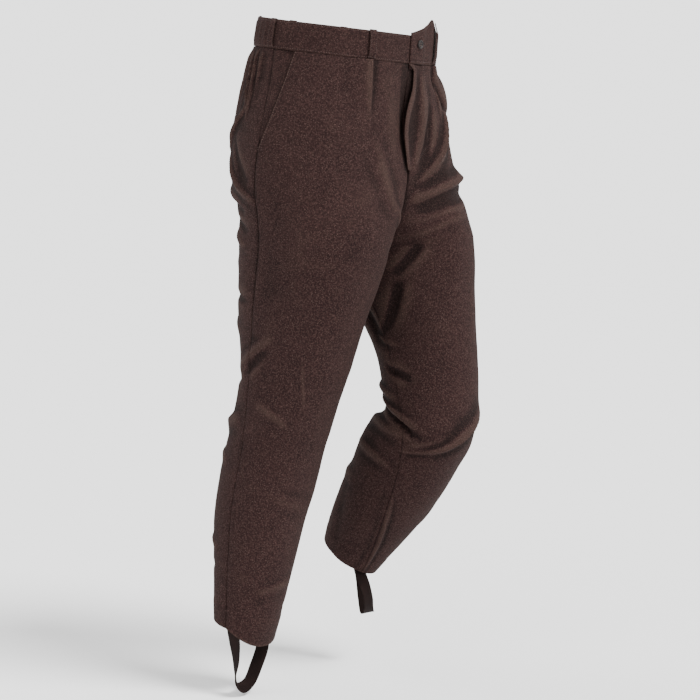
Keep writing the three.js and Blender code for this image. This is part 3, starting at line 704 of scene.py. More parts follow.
def bandPoint(side, half, share, up, height):
    past = share > 1
    onShare = np.where(past, 2 - share, share)
    base, normal = (np.where(past[..., None], form(-side, half, 0 * share, onShare), form(side, half, 0 * share, onShare))
                    for form in (formPoint, formNormal))
    normal = unit(normal * (1, 1, 0))
    tilt = math.radians(pose["seat"]["pitch"][0])
    rise = 1 + bandRise(side, half, share) / band["high"]
    inward = -band["lean"] * up / band["high"]
    ripple = 0
    if half == back:
        offMiddle = up / band["high"] - 0.5
        wandering = onShare + band["wander"] * np.sin(up / band["wanderLong"])
        ripple = gathers["bandRipple"] * gatherWave(onShare, gathers["count"]) * bell(offMiddle * 2 * band["rippleReach"])
        ripple = ripple + band["fineRipple"] * gatherWave(wandering, gathers["fineCount"]) * bell(offMiddle / band["fineReach"])
    upward = np.array((0, -math.sin(tilt), math.cos(tilt)))
    return base + upward * (up * rise)[..., None] + normal * (height + inward + ripple)[..., None]


def bandHeight(side, half, share):
    if side == right or half == back:
        return band["proud"] + 0 * share
    past = (share - 1) * panelWidth(front, 0) + band["underlap"]
    return band["proud"] + (band["wall"] + cut["seamGap"]) * smooth(past / band["step"] + 1)


def makeBand(side):
    widthBack, widthFront = float(panelWidth(back, 0)), float(panelWidth(front, 0))
    extra = fly["topLap"] if side == left else band["underlap"]
    around = edged(evenly(-widthBack + cut["seamGap"] / 2, widthFront + extra, band["cell"]), (0.4, 0.9, 1.6))
    up = edged(evenly(cut["seamGap"] / 2, band["high"], band["cell"]), (0.35, 0.8, 1.4))
    grids = []
    fromEnds = np.minimum(around[None, :] - around[0], around[-1] - around[None, :]) + 0 * up[:, None]
    fromSides = np.minimum(up - up[0], up[-1] - up)[:, None] + 0 * around[None, :]
    fall = np.maximum(edgeRound(fromEnds, band["rim"]), edgeRound(fromSides, band["rim"]))
    pastStitch = fromSides - band["stitchIn"]
    puff = band["puff"] * smooth(pastStitch / band["puffWide"]) - band["stitchSink"] * np.exp(-(pastStitch / band["stitchWide"]) ** 2)
    for depth in (-fall * edgeFull, fall * edgeFull - band["wall"]):
        points = np.zeros(fall.shape + (3,))
        for half, chosen in ((back, around < 0), (front, around >= 0)):
            share = np.abs(around[chosen])[None, :] / (widthBack if half == back else widthFront) + 0 * up[:, None]
            lift = bandHeight(side, half, share) + depth[:, chosen] + puff[:, chosen]
            points[:, chosen] = bandPoint(side, half, share, up[:, None] + 0 * share, lift)
        grids.append(points)
    uvs = np.stack((around[None, :] + 0 * up[:, None] + side * 700, up[:, None] + 0 * around[None, :]), -1)
    # the band's rims are lighter with wear; the puffed cloth between the stitch rows is painted lighter as painted
    # highlight, and the sunk stitch lines darker as painted shade
    worn = band["edgeWorn"] * np.exp(-((fromSides - 0.3) / 1.2) ** 2) + 0.2 * puff
    return wall("waistband_" + words[side] + "_cloth", grids[0], grids[1], uvs, worn)


bands = {side: makeBand(side) for side in (right, left)}


# seam allowances, inside the seams
allowance = {"wide": 7.0, "under": 0.35, "thick": 0.8, "cell": 4.0, "bandWide": 9.0, "bandUnder": 0.4, "facing": 0.7}


def makeAllowance(name, first, second, rows, fromCentre):
    # first and second are the (side, half) that meet, and fromCentre says which of their edges
    at = rows[:, None]
    mm = np.linspace(-allowance["wide"], allowance["wide"], 11)[None, :]
    grids = []
    for depth in (0, allowance["thick"]):
        points = np.zeros((len(rows), 11, 3))
        for (side, half), chosen in ((first, mm[0] >= 0), (second, mm[0] < 0)):
            away = np.abs(mm[:, chosen]) / panelWidth(half, at)
            share = 1 - away if fromCentre else away
            dip = panelCut["seamDip"] * np.exp(-(mm[:, chosen] / panelCut["seamWide"]) ** 2)
            facingThere = allowance["facing"] * (at < panelCut["pocketLong"]) * (half == front) * (not fromCentre)
            height = panelHeight(side, half, at, share) - flyLift(at, share) * (side == left) * (half == front)
            under = dip + facingThere + cut["cloth"] + allowance["under"] + depth
            points[:, chosen] = liftedPoint(side, half, at, share, height - under)
        grids.append(points)
    return wall(name, grids[0], grids[1], np.stack((mm + 0 * at, -at + 0 * mm), -1))


def makeWaistAllowance(side):
    around = evenly(-float(panelWidth(back, 0)) + 1, float(panelWidth(front, 0)) - 1, allowance["cell"])
    ups = np.array([allowance["bandWide"], 5, 2, 0, -3, -6, -allowance["bandWide"]])
    grids = []
    for depth in (0, allowance["thick"]):
        points = np.zeros((len(ups), len(around), 3))
        for half, chosen in ((back, around < 0), (front, around >= 0)):
            share = np.abs(around[chosen])[None, :] / float(panelWidth(half, 0))
            under = band["wall"] + allowance["bandUnder"] + depth
            for i, up in enumerate(ups):
                ats = abs(up) + 0 * share
                if up >= 0:
                    points[i, chosen] = bandPoint(side, half, share, ats, 0 * share + band["proud"] - under)[0]
                else:
                    points[i, chosen] = liftedPoint(side, half, ats, share, panelHeight(side, half, ats, share) - under)[0]
        grids.append(points)
    uvs = np.stack(np.broadcast_arrays(around[None, :], ups[:, None]), -1)
    return wall("waist_allowance_" + words[side], grids[0], grids[1], uvs)


legRows = evenly(cut["forkAt"] + 2, cut["hemAt"] - 6, allowance["cell"])
sideRows = evenly(4, cut["hemAt"] - 6, allowance["cell"])
allowances = {}
for side in (right, left):
    pair = (side, front), (side, back)
    allowances["side", side] = makeAllowance("side_seam_allowance_" + words[side], *pair, sideRows, False)
    allowances["inside", side] = makeAllowance("inseam_allowance_" + words[side], *pair, legRows, True)
    allowances["waist", side] = makeWaistAllowance(side)
for half, name, top in ((front, "front", fly["long"] - 6), (back, "back", 4)):
    rows = evenly(top, cut["forkAt"] - 4, allowance["cell"])
    allowances["centre", half] = makeAllowance(name + "_seam_allowance", (right, half), (left, half), rows, True)


# belt loops
loop = {
    "wide": 13.0, "wall": 1.5, "lift": 3.6, "flank": 10.0, "foot": 1.0,
    "stitchIn": 2.0, "stitchSink": 0.3, "stitchWide": 0.7,
    "places": [
        ("front_right", right, front, 0.70), ("front_left", left, front, 0.70),
        ("side_right", right, back, 0.035), ("side_left", left, back, 0.035),
        ("back_right", right, back, 0.58), ("back_left", left, back, 0.58), ("centre_back", right, back, 1.0),
    ],
}


def loopPoint(side, half, share, across, t, height):
    clear = band["high"] / loop["flank"]
    lift = cut["seamGap"] + loop["lift"] * smooth(clear * t) * smooth(clear * (1 - t))
    up = loop["foot"] + (band["high"] + loop["foot"] / 2) * t
    shares = share + across / panelWidth(half, 0) + 0 * t
    middle = bandHeight(side, half, np.full_like(shares, share))
    return bandPoint(side, half, shares, up + 0 * shares, middle + lift + height)


def makeLoop(name, side, half, share):
    t = np.linspace(0, 1, 40)[:, None]
    across = edged(np.linspace(-0.5, 0.5, 13) * loop["wide"], (0.15, 0.4, 0.75))[None, :]
    fromSide = loop["wide"] / 2 - np.abs(across) + 0 * t
    fromEnd = np.minimum(t, 1 - t) * band["high"] + 0 * across
    fall = edgeRound(np.minimum(fromSide, fromEnd), loop["wall"] / 2)
    sewn = loop["stitchSink"] * np.exp(-((fromSide - loop["stitchIn"]) / loop["stitchWide"]) ** 2)
    outer = loopPoint(side, half, share, across + 0 * t, t, loop["wall"] - fall - sewn)
    inner = loopPoint(side, half, share, across + 0 * t, t, fall * 0.9)
    uvs = np.stack((across + 0 * t, t * band["high"] + 0 * across), -1)
    # the loop is lighter along its edges and painted darker along its sunk stitch lines, as painted shade
    return wall("belt_loop_" + name + "_cloth", outer, inner, uvs, 0.5 * np.exp(-(fromSide / 1.0) ** 2) - sewn)


loops = {name: makeLoop(name, side, half, share) for name, side, half, share in loop["places"]}


# foot straps
strap = {
    "wide": 26.0, "wall": 1.5, "tuck": 16.0, "steps": 130, "flat": 300.0, "ribHigh": 0.12, "ribPitch": 3.1,
    right: readTable("spread down forward turn", [
        [-0.84, 0, 8, 0],
        [-0.785, 27, 9, 9],
        [-0.76, 55, 10, 28],
        [-0.80, 84, 11, 50],
        [-0.62, 100, 11, 30],
        [-0.10, 96, 8, 0],
        [0.26, 74, 6, 0],
        [0.68, 48, 0, 0],
        [0.84, 20, -4, 0],
        [0.84, 0, -4, 0],
    ]),
    left: readTable("spread down forward turn", [
        [-0.90, 0, 0, 0],
        [-0.83, 30, 12, 0],
        [-0.62, 60, 23, 0],
        [-0.30, 90, 26, 10],
        [0.05, 101, 27, 25],
        [0.42, 84, 25, 36],
        [0.74, 50, 19, 24],
        [0.89, 22, 8, 0],
        [0.89, 0, 0, 0],
    ]),
}


def splinePath(points, count):
    # a smooth curve through the points, walked in even steps, and how far along the points each step is
    points = np.asarray(points)
    padded = np.concatenate(([2 * points[0] - points[1]], points, [2 * points[-1] - points[-2]]))
    fine, places = [], []
    for i in range(1, len(padded) - 2):
        p0, p1, p2, p3 = padded[i - 1:i + 3]
        t0, t1 = 0, np.linalg.norm(p1 - p0) ** 0.5
        t2 = t1 + np.linalg.norm(p2 - p1) ** 0.5
        t3 = t2 + np.linalg.norm(p3 - p2) ** 0.5
        t = np.linspace(t1, t2, 40, endpoint=i == len(padded) - 3)[:, None]
        a1 = (t1 - t) / (t1 - t0) * p0 + (t - t0) / (t1 - t0) * p1
        a2 = (t2 - t) / (t2 - t1) * p1 + (t - t1) / (t2 - t1) * p2
        a3 = (t3 - t) / (t3 - t2) * p2 + (t - t2) / (t3 - t2) * p3
        b1 = (t2 - t) / (t2 - t0) * a1 + (t - t0) / (t2 - t0) * a2
        b2 = (t3 - t) / (t3 - t1) * a2 + (t - t1) / (t3 - t1) * a3
        fine.append((t2 - t) / (t2 - t1) * b1 + (t - t1) / (t2 - t1) * b2)
        places.append(i - 1 + (t[:, 0] - t1) / (t2 - t1))
    fine, places = np.concatenate(fine), np.concatenate(places)
    lengths = np.concatenate(([0], np.cumsum(np.linalg.norm(np.diff(fine, axis=0), axis=1))))
    walk = np.linspace(0, lengths[-1], count)
    return np.stack([np.interp(walk, lengths, fine[:, i]) for i in range(3)], -1), walk, np.interp(walk, lengths, places)


def makeStrap(side):
    outerSeam, innerSeam = formPoint(side, front, cut["hemAt"], 0), formPoint(side, front, cut["hemAt"], 1)
    centre, reach = (outerSeam + innerSeam) / 2, (innerSeam - outerSeam) / 2
    legUp = formPoint(side, front, cut["hemAt"] - strap["tuck"], 0) - outerSeam
    rows = strap[side]
    points = [centre + reach * s + (0, -f, -d) for s, d, f in zip(rows["spread"], rows["down"], rows["forward"])]
    points = [points[0] + legUp] + points + [points[-1] + legUp]
    path, walk, places = splinePath(points, strap["steps"])
    turns = {"at": np.arange(len(points), dtype=float), "turn": np.concatenate(([0], rows["turn"], [0]))}
    turn = np.radians(along(turns, "turn", places))[:, None]
    tangent = unit(np.gradient(path, axis=0))
    hemWay = unit(np.cross(reach, legUp))
    sideWay = np.cross(tangent, hemWay)
    straight = (tangent @ hemWay)[:, None] * tangent
    wideWay = unit(hemWay * np.cos(turn) + sideWay * np.sin(turn) + straight * (1 - np.cos(turn)))
    out = unit(np.cross(wideWay, tangent))
    across = edged(np.linspace(-0.5, 0.5, 19) * strap["wide"], (0.15, 0.4, 0.8))[None, :, None]
    fromSide = strap["wide"] / 2 - np.abs(across[..., 0]) + 0 * walk[:, None]
    fall = edgeRound(fromSide, strap["wall"] / 2)
    ribs = strap["ribHigh"] * np.cos(2 * np.pi * across[..., 0] / strap["ribPitch"]) + 0 * walk[:, None]
    middle = path[:, None, :] + wideWay[:, None, :] * across
    raised = out[:, None, :] * (strap["wall"] / 2 - fall * edgeFull + ribs)[..., None]
    uvs = np.stack((across[..., 0] + 0 * walk[:, None], walk[:, None] + 0 * fall), -1)
    return wall("stirrup_" + words[side] + "_tape", middle + raised, middle - raised, uvs, ribs * 4)


straps = {side: makeStrap(side) for side in (right, left)}
print("trousers: waistband, loops and straps made")


# the button
button = {
    "wide": 14.0, "thick": 3.0, "inset": 16.0, "up": 26.0, "segments": 48, "holes": 1.7, "holeOut": 1.512, "dish": 0.58,
    "threadOut": 1.8, "threadReach": 2.0, "threadApart": 0.25, "threadBow": 0.35,
    "profile": [
        (0, 0), (0.86, 0), (0.97, 0.12), (1, 0.4), (1, 0.7), (0.96, 0.9), (0.88, 1),
        (0.78, 0.97), (0.68, 0.78), (0.6, 0.62), (0.3, 0.58), (0, 0.58),
    ],
}


def buttonPlace():
    width = float(panelWidth(front, 0))
    share = np.array(1 - button["inset"] / width)
    height = bandHeight(left, front, share) + cut["seamGap"]
    place = bandPoint(left, front, share, np.array(button["up"]), height)
    lean = math.radians(pose["seat"]["pitch"][0]) - math.atan(band["lean"] / band["high"])
    c, s = math.cos(math.pi + lean), math.sin(math.pi + lean)
    return place, np.array([[1, 0, 0], [0, c, -s], [0, s, c]])


def makeButton():
    place, turn = buttonPlace()
    bm = bmesh.new()
    rings, count = [], button["segments"]
    for out, up in button["profile"]:
        radius, high = out * button["wide"] / 2, up * button["thick"]
        angles = np.arange(count if out else 1) * 2 * math.pi / count
        rings.append([bm.verts.new((radius * math.sin(a), high, radius * math.cos(a))) for a in angles])
    for lower, upper in zip(rings, rings[1:]):
        for i in range(count):
            j = (i + 1) % count
            quad = [lower[i % len(lower)], lower[j % len(lower)], upper[j % len(upper)], upper[i % len(upper)]]
            bm.faces.new(list(dict.fromkeys(quad)))
    bmesh.ops.recalc_face_normals(bm, faces=bm.faces)
    mesh = bpy.data.meshes.new("button")
    bm.to_mesh(mesh)
    bm.free()
    disc = bpy.data.objects.new("waist_button_disc", mesh)
    bpy.context.scene.collection.objects.link(disc)
    bm = bmesh.new()
    radius, away = button["holes"] / 2, button["holeOut"]
    for x, z in ((1, 1), (1, -1), (-1, 1), (-1, -1)):
        made = bmesh.ops.create_cone(bm, cap_ends=True, segments=20, radius1=radius, radius2=radius, depth=12)
        bmesh.ops.rotate(bm, verts=made["verts"], cent=(0, 0, 0), matrix=Matrix.Rotation(math.pi / 2, 3, "X"))
        bmesh.ops.translate(bm, verts=made["verts"], vec=(x * away, 0, z * away))
    drillMesh = bpy.data.meshes.new("drills")
    bm.to_mesh(drillMesh)
    bm.free()
    drills = bpy.data.objects.new("drills", drillMesh)
    bpy.context.scene.collection.objects.link(drills)
    cutter = disc.modifiers.new("holes", "BOOLEAN")
    cutter.operation, cutter.object, cutter.solver = "DIFFERENCE", drills, "EXACT"
    finished = bpy.data.meshes.new_from_object(disc.evaluated_get(bpy.context.evaluated_depsgraph_get()))
    disc.modifiers.clear()
    disc.data = finished
    bpy.data.objects.remove(drills)
    places = np.array([v.co[:] for v in finished.vertices])
    finished.vertices.foreach_set("co", ((places @ turn.T + place) / 1000).ravel())
    finished.update()
    finished.shade_flat()
    return disc


disc = makeButton()


# stitches, made by Geometry Nodes along runs of points
sewing = {
    "Stitch Length": 0.0026, "Stitch Gap": 0.0015, "Thread Thickness": 0.00055, "Seed": 5,
    "edgeIn": 2.2, "flyWide": 36.0, "flyTurn": 26.0, "flyTurnFrom": 120.0, "flyTurnLong": 55.0, "flyEdgeIn": 6.0,
    "loops": {"Stitch Length": 0.0019, "Stitch Gap": 0.0010},
    "button": {"Stitch Length": 0.0040, "Stitch Gap": 0.0001, "Thread Thickness": 0.0005},
}


def stitchTree(material):
    tree = bpy.data.node_groups.new("stitchRun", "GeometryNodeTree")
    tree.interface.new_socket(name="Geometry", in_out="INPUT", socket_type="NodeSocketGeometry")
    for name in ("Stitch Length", "Stitch Gap", "Thread Thickness", "Seed"):
        kind = "NodeSocketInt" if name == "Seed" else "NodeSocketFloat"
        tree.interface.new_socket(name=name, in_out="INPUT", socket_type=kind).default_value = sewing[name]
    tree.interface.new_socket(name="Geometry", in_out="OUTPUT", socket_type="NodeSocketGeometry")
    given, result = tree.nodes.new("NodeGroupInput"), tree.nodes.new("NodeGroupOutput")

    def add(kind, links=None, **settings):
        node = tree.nodes.new(kind)
        for key, value in settings.items():
            setattr(node, key, value)
        for key, value in (links or {}).items():
            if isinstance(value, bpy.types.NodeSocket):
                tree.links.new(value, node.inputs[key])
            else:
                node.inputs[key].default_value = value
        return node

    step = add("ShaderNodeMath", {0: given.outputs["Stitch Length"], 1: given.outputs["Stitch Gap"]}, operation="ADD")
    runs = add("GeometryNodeMeshToCurve", {"Mesh": given.outputs["Geometry"]})
    spaced = add("GeometryNodeResampleCurve", {"Curve": runs.outputs[0], "Length": step.outputs[0]}, mode="LENGTH")
    points = add("GeometryNodeCurveToPoints", {"Curve": spaced.outputs[0]}, mode="EVALUATED")
    out = add("GeometryNodeInputNamedAttribute", {"Name": "out"}, data_type="FLOAT_VECTOR")
    facingOut = add("FunctionNodeAlignRotationToVector", {"Vector": out.outputs[0]}, axis="Z")
    turned = add("FunctionNodeAlignRotationToVector", {"Rotation": facingOut.outputs[0], "Vector": points.outputs["Tangent"]},
                 axis="X", pivot_axis="Z")
    wobble = add("FunctionNodeRandomValue", {2: 0.88, 3: 1.08, "Seed": given.outputs["Seed"]}, data_type="FLOAT")
    ball = add("GeometryNodeMeshUVSphere", {"Segments": 6, "Rings": 5, "Radius": 0.5})
    longSize = add("ShaderNodeMath", {0: given.outputs["Stitch Length"], 1: wobble.outputs[1]}, operation="MULTIPLY")
    thick = given.outputs["Thread Thickness"]
    size = add("ShaderNodeCombineXYZ", {"X": longSize.outputs[0], "Y": thick, "Z": thick})
    placed = add("GeometryNodeInstanceOnPoints", {"Points": points.outputs["Points"], "Instance": ball.outputs[0],
                                                  "Rotation": turned.outputs[0], "Scale": size.outputs[0]})
    real = add("GeometryNodeRealizeInstances", {"Geometry": placed.outputs[0]})
    finish = add("GeometryNodeSetMaterial", {"Geometry": real.outputs[0], "Material": material})
    tree.links.new(finish.outputs[0], result.inputs[0])
    return tree


def stitchPiece(name, runs, tree, settings=None):
    # runs is a list of (points, outward directions), one for each line of stitching
    settings = {**sewing, **(settings or {})}
    points, edges, outs = [], [], []
    for places, outward in runs:
        start = len(points)
        points += list(np.asarray(places) / 1000)
        outs += list(outward)
        edges += [(start + i, start + i + 1) for i in range(len(places) - 1)]
    mesh = bpy.data.meshes.new(name)
    mesh.from_pydata([tuple(p) for p in points], edges, [])
    mesh.attributes.new("out", "FLOAT_VECTOR", "POINT").data.foreach_set("vector", np.asarray(outs, np.float32).ravel())
    piece = bpy.data.objects.new(name, mesh)
    bpy.context.scene.collection.objects.link(piece)
    modifier = piece.modifiers.new("stitches", "NODES")
    modifier.node_group = tree
    for item in tree.interface.items_tree:
        if item.item_type == "SOCKET" and item.in_out == "INPUT" and item.name in settings:
            modifier[item.identifier] = settings[item.name]
    evaluated = piece.evaluated_get(bpy.context.evaluated_depsgraph_get())
    finished = bpy.data.meshes.new_from_object(evaluated)
    piece.modifiers.clear()
    piece.data = finished
    finished.shade_smooth()
    return piece


def panelRun(side, half, ats, shares, lift=0.15):
    ats, shares = np.broadcast_arrays(np.asarray(ats, float), np.asarray(shares, float))
    ats = ats + hemDrop(side, half, ats, shares)
    places = liftedPoint(side, half, ats, shares, panelHeight(side, half, ats, shares) + lift)
    return places, formNormal(side, half, ats, np.minimum(shares, 1))


def bandRun(side, fromMm, toMm, up):
    around = np.linspace(fromMm, toMm, 200)
    places, outs = np.zeros((200, 3)), np.zeros((200, 3))
    for half, chosen in ((back, around < 0), (front, around >= 0)):
        if chosen.any():
            share = np.abs(around[chosen]) / float(panelWidth(half, 0))
            ups = np.full(share.shape, float(up))
            high = bandHeight(side, half, share) + 0.02
            places[chosen] = bandPoint(side, half, share, ups, high)
            outs[chosen] = bandPoint(side, half, share, ups, high + 1) - places[chosen]
    return places, outs


def loopRuns(side, half, share):
    # two rows down each loop, and two across each of its ends
    rows = [(np.full(60, across), np.linspace(0.03, 0.97, 60), loop["wall"] - 0.15) for across in (-4.5, 4.5)]
    rows += [(np.linspace(-5.4, 5.4, 12), np.full(12, t), loop["wall"] - 0.1) for t in (0.035, 0.06, 0.94, 0.965)]
    runs = []
    for across, t, high in rows:
        low = loopPoint(side, half, share, across, t, high)
        runs.append((low, loopPoint(side, half, share, across, t, high + 1) - low))
    return runs


# materials
class Value:
    # a socket that takes part in Python expressions
    def __init__(self, tree, socket):
        self.tree, self.socket = tree, socket

    def combine(self, operation, other, swapped=False):
        node = self.tree.nodes.new("ShaderNodeMath")
        node.operation = operation
        for slot, item in zip((1, 0) if swapped else (0, 1), (self, other)):
            if isinstance(item, Value):
                self.tree.links.new(item.socket, node.inputs[slot])
            else:
                node.inputs[slot].default_value = item
        return Value(self.tree, node.outputs[0])

    def __add__(self, other): return self.combine("ADD", other)
    def __radd__(self, other): return self.combine("ADD", other)
    def __sub__(self, other): return self.combine("SUBTRACT", other)
    def __rsub__(self, other): return self.combine("SUBTRACT", other, True)
    def __mul__(self, other): return self.combine("MULTIPLY", other)
    def __rmul__(self, other): return self.combine("MULTIPLY", other)


class Finish:
    # one material and the nodes of its tree
    def __init__(self, name, **settings):
        self.material = bpy.data.materials.new(name)
        self.material.use_nodes = True
        self.tree = self.material.node_tree
        self.shader = self.tree.nodes["Principled BSDF"]
        for key, value in settings.items():
            self.shader.inputs[key].default_value = value

    def node(self, kind, settings=None, inputs=None, output=0):
        made = self.tree.nodes.new(kind)
        for key, value in (settings or {}).items():
            setattr(made, key, value)
        for key, value in (inputs or {}).items():
            if isinstance(value, Value):
                self.tree.links.new(value.socket, made.inputs[key])
            else:
                made.inputs[key].default_value = value
        return Value(self.tree, made.outputs[output])

    def mix(self, factor, a, b):
        return self.node("ShaderNodeMix", {"data_type": "RGBA"}, {0: factor, 6: a, 7: b}, 2)

    def noise(self, place, scale, detail, roughness=0.5):
        return self.node("ShaderNodeTexNoise", {}, {"Vector": place, "Scale": scale, "Detail": detail, "Roughness": roughness})

    def wave(self, value):
        return self.node("ShaderNodeMath", {"operation": "SINE"}, {0: value * (2 * math.pi)}) * 0.5 + 0.5

    def clothWays(self):
        # how far across and how far along its cloth a place is, in metres
        uv = self.node("ShaderNodeUVMap", {"uv_map": "cloth"})
        return [self.node("ShaderNodeSeparateXYZ", {}, {0: uv}, output) for output in (0, 1)]

    def ramp(self, value, low, high):
        return self.node("ShaderNodeMapRange", {"clamp": True}, {"Value": value, "From Min": low, "From Max": high})

    def feed(self, name, value):
        self.tree.links.new(value.socket, self.shader.inputs[name])

    def bump(self, height, strength, distance):
        self.feed("Normal", self.node("ShaderNodeBump", {}, {"Strength": strength, "Distance": distance, "Height": height}))


def colour(red, green, blue):
    # a screen colour, 0 to 255, as the linear one that a shader takes
    screen = (red / 255, green / 255, blue / 255)
    return tuple(c / 12.92 if c <= 0.04045 else ((c + 0.055) / 1.055) ** 2.4 for c in screen) + (1.0,)


woolLook = {
    "ground": colour(40, 24, 23), "dark": colour(22, 12, 12), "pale": colour(68, 48, 45), "fleck": colour(106, 86, 78),
    # the last two colours paint the crest attribute: the darkest one is painted shade in fold hollows, the lighter one
    # marks ridges, partly wear and partly painted highlight
    "deep": colour(9, 4, 4), "worn": colour(64, 49, 42),
    "roughness": 0.93, "specular": 0.1, "sheen": 0.04, "sheenRoughness": 0.6, "sheenTint": colour(150, 128, 118),
    "twillPitch": 0.0016, "twillLean": 0.9, "drift": 0.0012, "bump": 0.6, "bumpHigh": 0.0009,
    "fibres": 909.09, "coarse": 400.0, "cloudy": 17.0, "flecks": 420.0,
}


def makeWool():
    look = woolLook
    wool = Finish("brownWool", **{
        "Roughness": look["roughness"], "Specular IOR Level": look["specular"], "Sheen Weight": look["sheen"],
        "Sheen Roughness": look["sheenRoughness"], "Sheen Tint": look["sheenTint"],
    })
    place = wool.node("ShaderNodeTexCoord", output=3)
    u, v = wool.clothWays()
    fibres = wool.noise(place, look["fibres"], 2.0, 0.6)
    coarse = wool.noise(place, look["coarse"], 2.0, 0.6)
    cloudy = wool.noise(place, look["cloudy"], 3.0, 0.55)
    twill = wool.wave((u + v * look["twillLean"] + (coarse - 0.5) * look["drift"]) * (1 / look["twillPitch"]))
    crest = wool.node("ShaderNodeAttribute", {"attribute_name": "crest"}, output=2)
    base = wool.mix(wool.ramp(fibres, 0.36, 0.64), look["dark"], look["ground"])
    # ridges are painted lighter, partly wear and partly painted highlight, and hollows are painted darker as painted
    # shade in the folds, under the flecks and a little over them
    base = wool.mix(wool.ramp(crest, 0.05, 0.9) * 0.28, base, look["worn"])
    base = wool.mix(wool.ramp(0 - crest, 0.05, 0.9) * 0.6, base, look["deep"])
    base = wool.mix(wool.ramp(coarse, 0.44, 0.68) * 0.45, base, look["pale"])
    base = wool.mix(wool.ramp(0.56 - coarse, 0.0, 0.2) * 0.4, base, look["dark"])
    base = wool.mix(wool.ramp(cloudy, 0.35, 0.75) * 0.08, base, look["pale"])
    flecks = wool.node("ShaderNodeTexVoronoi", {"feature": "F1"}, {"Vector": place, "Scale": look["flecks"], "Randomness": 1.0})
    base = wool.mix(wool.ramp(0.26 - flecks, 0.0, 0.14) * 0.5, base, look["fleck"])
    base = wool.mix(wool.ramp(crest, 0.1, 0.9) * 0.11, base, look["worn"])
    base = wool.mix(wool.ramp(0 - crest, 0.1, 0.9) * 0.45, base, look["deep"])
    wool.feed("Base Color", base)
    wool.feed("Roughness", look["roughness"] - wool.ramp(crest, 0.2, 1.0) * 0.1)
    wool.bump(twill * 0.35 + fibres * 0.8 + coarse * 0.9, look["bump"], look["bumpHigh"])
    return wool.material


elasticLook = {
    "dark": colour(13, 6, 5), "ground": colour(28, 16, 14), "worn": colour(40, 25, 22),
    "rowPitch": 0.0011, "cordPitch": 0.0031, "grain": 600.0, "wear": 40.0, "bump": 0.6, "bumpHigh": 0.0006,
}


def makeElastic():
    look = elasticLook
    tape = Finish("brownElastic", **{"Roughness": 0.8, "Specular IOR Level": 0.1})
    place = tape.node("ShaderNodeTexCoord", output=3)
    u, v = tape.clothWays()
    rows, cords = tape.wave(v * (1 / look["rowPitch"])), tape.wave(u * (1 / look["cordPitch"]))
    grain = tape.noise(place, look["grain"], 2.0)
    wear = tape.noise(place, look["wear"], 3.0)
    base = tape.mix(tape.ramp(rows * 0.5 + grain * 0.5, 0.25, 0.8), look["dark"], look["ground"])
    base = tape.mix(tape.ramp(wear, 0.45, 0.7) * 0.3, base, look["worn"])
    tape.feed("Base Color", base)
    tape.feed("Roughness", 0.72 + grain * 0.2)
    tape.bump(rows * 0.6 + cords * 0.9 + grain * 0.3, look["bump"], look["bumpHigh"])
    return tape.material


def makeHorn():
    horn = Finish("darkHorn", **{"Roughness": 0.35, "Specular IOR Level": 0.3})
    place = horn.node("ShaderNodeTexCoord", output=3)
    streaks = horn.node("ShaderNodeTexNoise", {}, {"Vector": place, "Scale": 160.0, "Detail": 4.0, "Distortion": 1.2})
    scuffs = horn.noise(place, 900.0, 2.0)
    horn.feed("Base Color", horn.mix(horn.ramp(streaks, 0.35, 0.7), colour(12, 8, 7), colour(34, 23, 19)))
    horn.feed("Roughness", 0.42 + horn.ramp(scuffs, 0.4, 0.7) * 0.22)
    horn.bump(scuffs * 0.3 + streaks * 0.4, 0.15, 0.0002)
    return horn.material


def makeThread():
    thread = Finish("brownThread", Roughness=0.65)
    grain = thread.noise(thread.node("ShaderNodeTexCoord", output=3), 2200.0, 1.0)
    thread.feed("Base Color", thread.mix(thread.ramp(grain, 0.35, 0.65), colour(46, 31, 29), colour(80, 60, 54)))
    thread.bump(grain, 0.4, 0.0002)
    return thread.material


wool, elastic, horn, thread = makeWool(), makeElastic(), makeHorn(), makeThread()
cloths = [*panels.values(), *facings.values(), shield, *bands.values(), *loops.values(), *allowances.values()]
for piece in cloths:
    piece.data.materials.append(wool)
for piece in straps.values():
    piece.data.materials.append(elastic)
disc.data.materials.append(horn)


# every run of stitches
def sideRuns(side):
    # the pocket's edge and its bar, the hems, and the two rows round the band
    ats = np.linspace(2, panelCut["pocketLong"] - 4, 120)
    edge = pocketEdge(ats) + sewing["edgeIn"] + cut["seamGap"]
    runs = [panelRun(side, front, ats, edge / panelWidth(front, ats))]
    for place in (panelCut["pocketLong"] - 3, panelCut["pocketLong"] + 0.5):
        runs.append(panelRun(side, front, np.full(10, place), np.linspace(0.6, 7.5, 10) / panelWidth(front, place)))
    for half in (front, back):
        hem = np.full(160, cut["hemAt"] - panelCut["hemFold"])
        runs.append(panelRun(side, half, hem, np.linspace(0.03, 0.97, 160), -0.12))
    first = 4 - float(panelWidth(back, 0))
    last = float(panelWidth(front, 0)) + (fly["topLap"] if side == left else band["underlap"]) - 3
    return runs + [bandRun(side, first, last, up) for up in (band["stitchIn"], band["high"] - band["stitchIn"])]


def flyRuns():
    # the curved row that holds the facing, and the row beside the free edge
    ats = np.linspace(3, fly["long"] - 12, 90)
    turn = smooth((ats - sewing["flyTurnFrom"]) / sewing["flyTurnLong"]) ** 2
    curved = 1 - (sewing["flyWide"] - sewing["flyTurn"] * turn) / panelWidth(front, ats)
    edge = 1 - (sewing["flyEdgeIn"] - flyLap(ats)) / panelWidth(front, ats)
    return [panelRun(left, front, ats, curved, 0.05), panelRun(left, front, ats, edge, 0.1)]


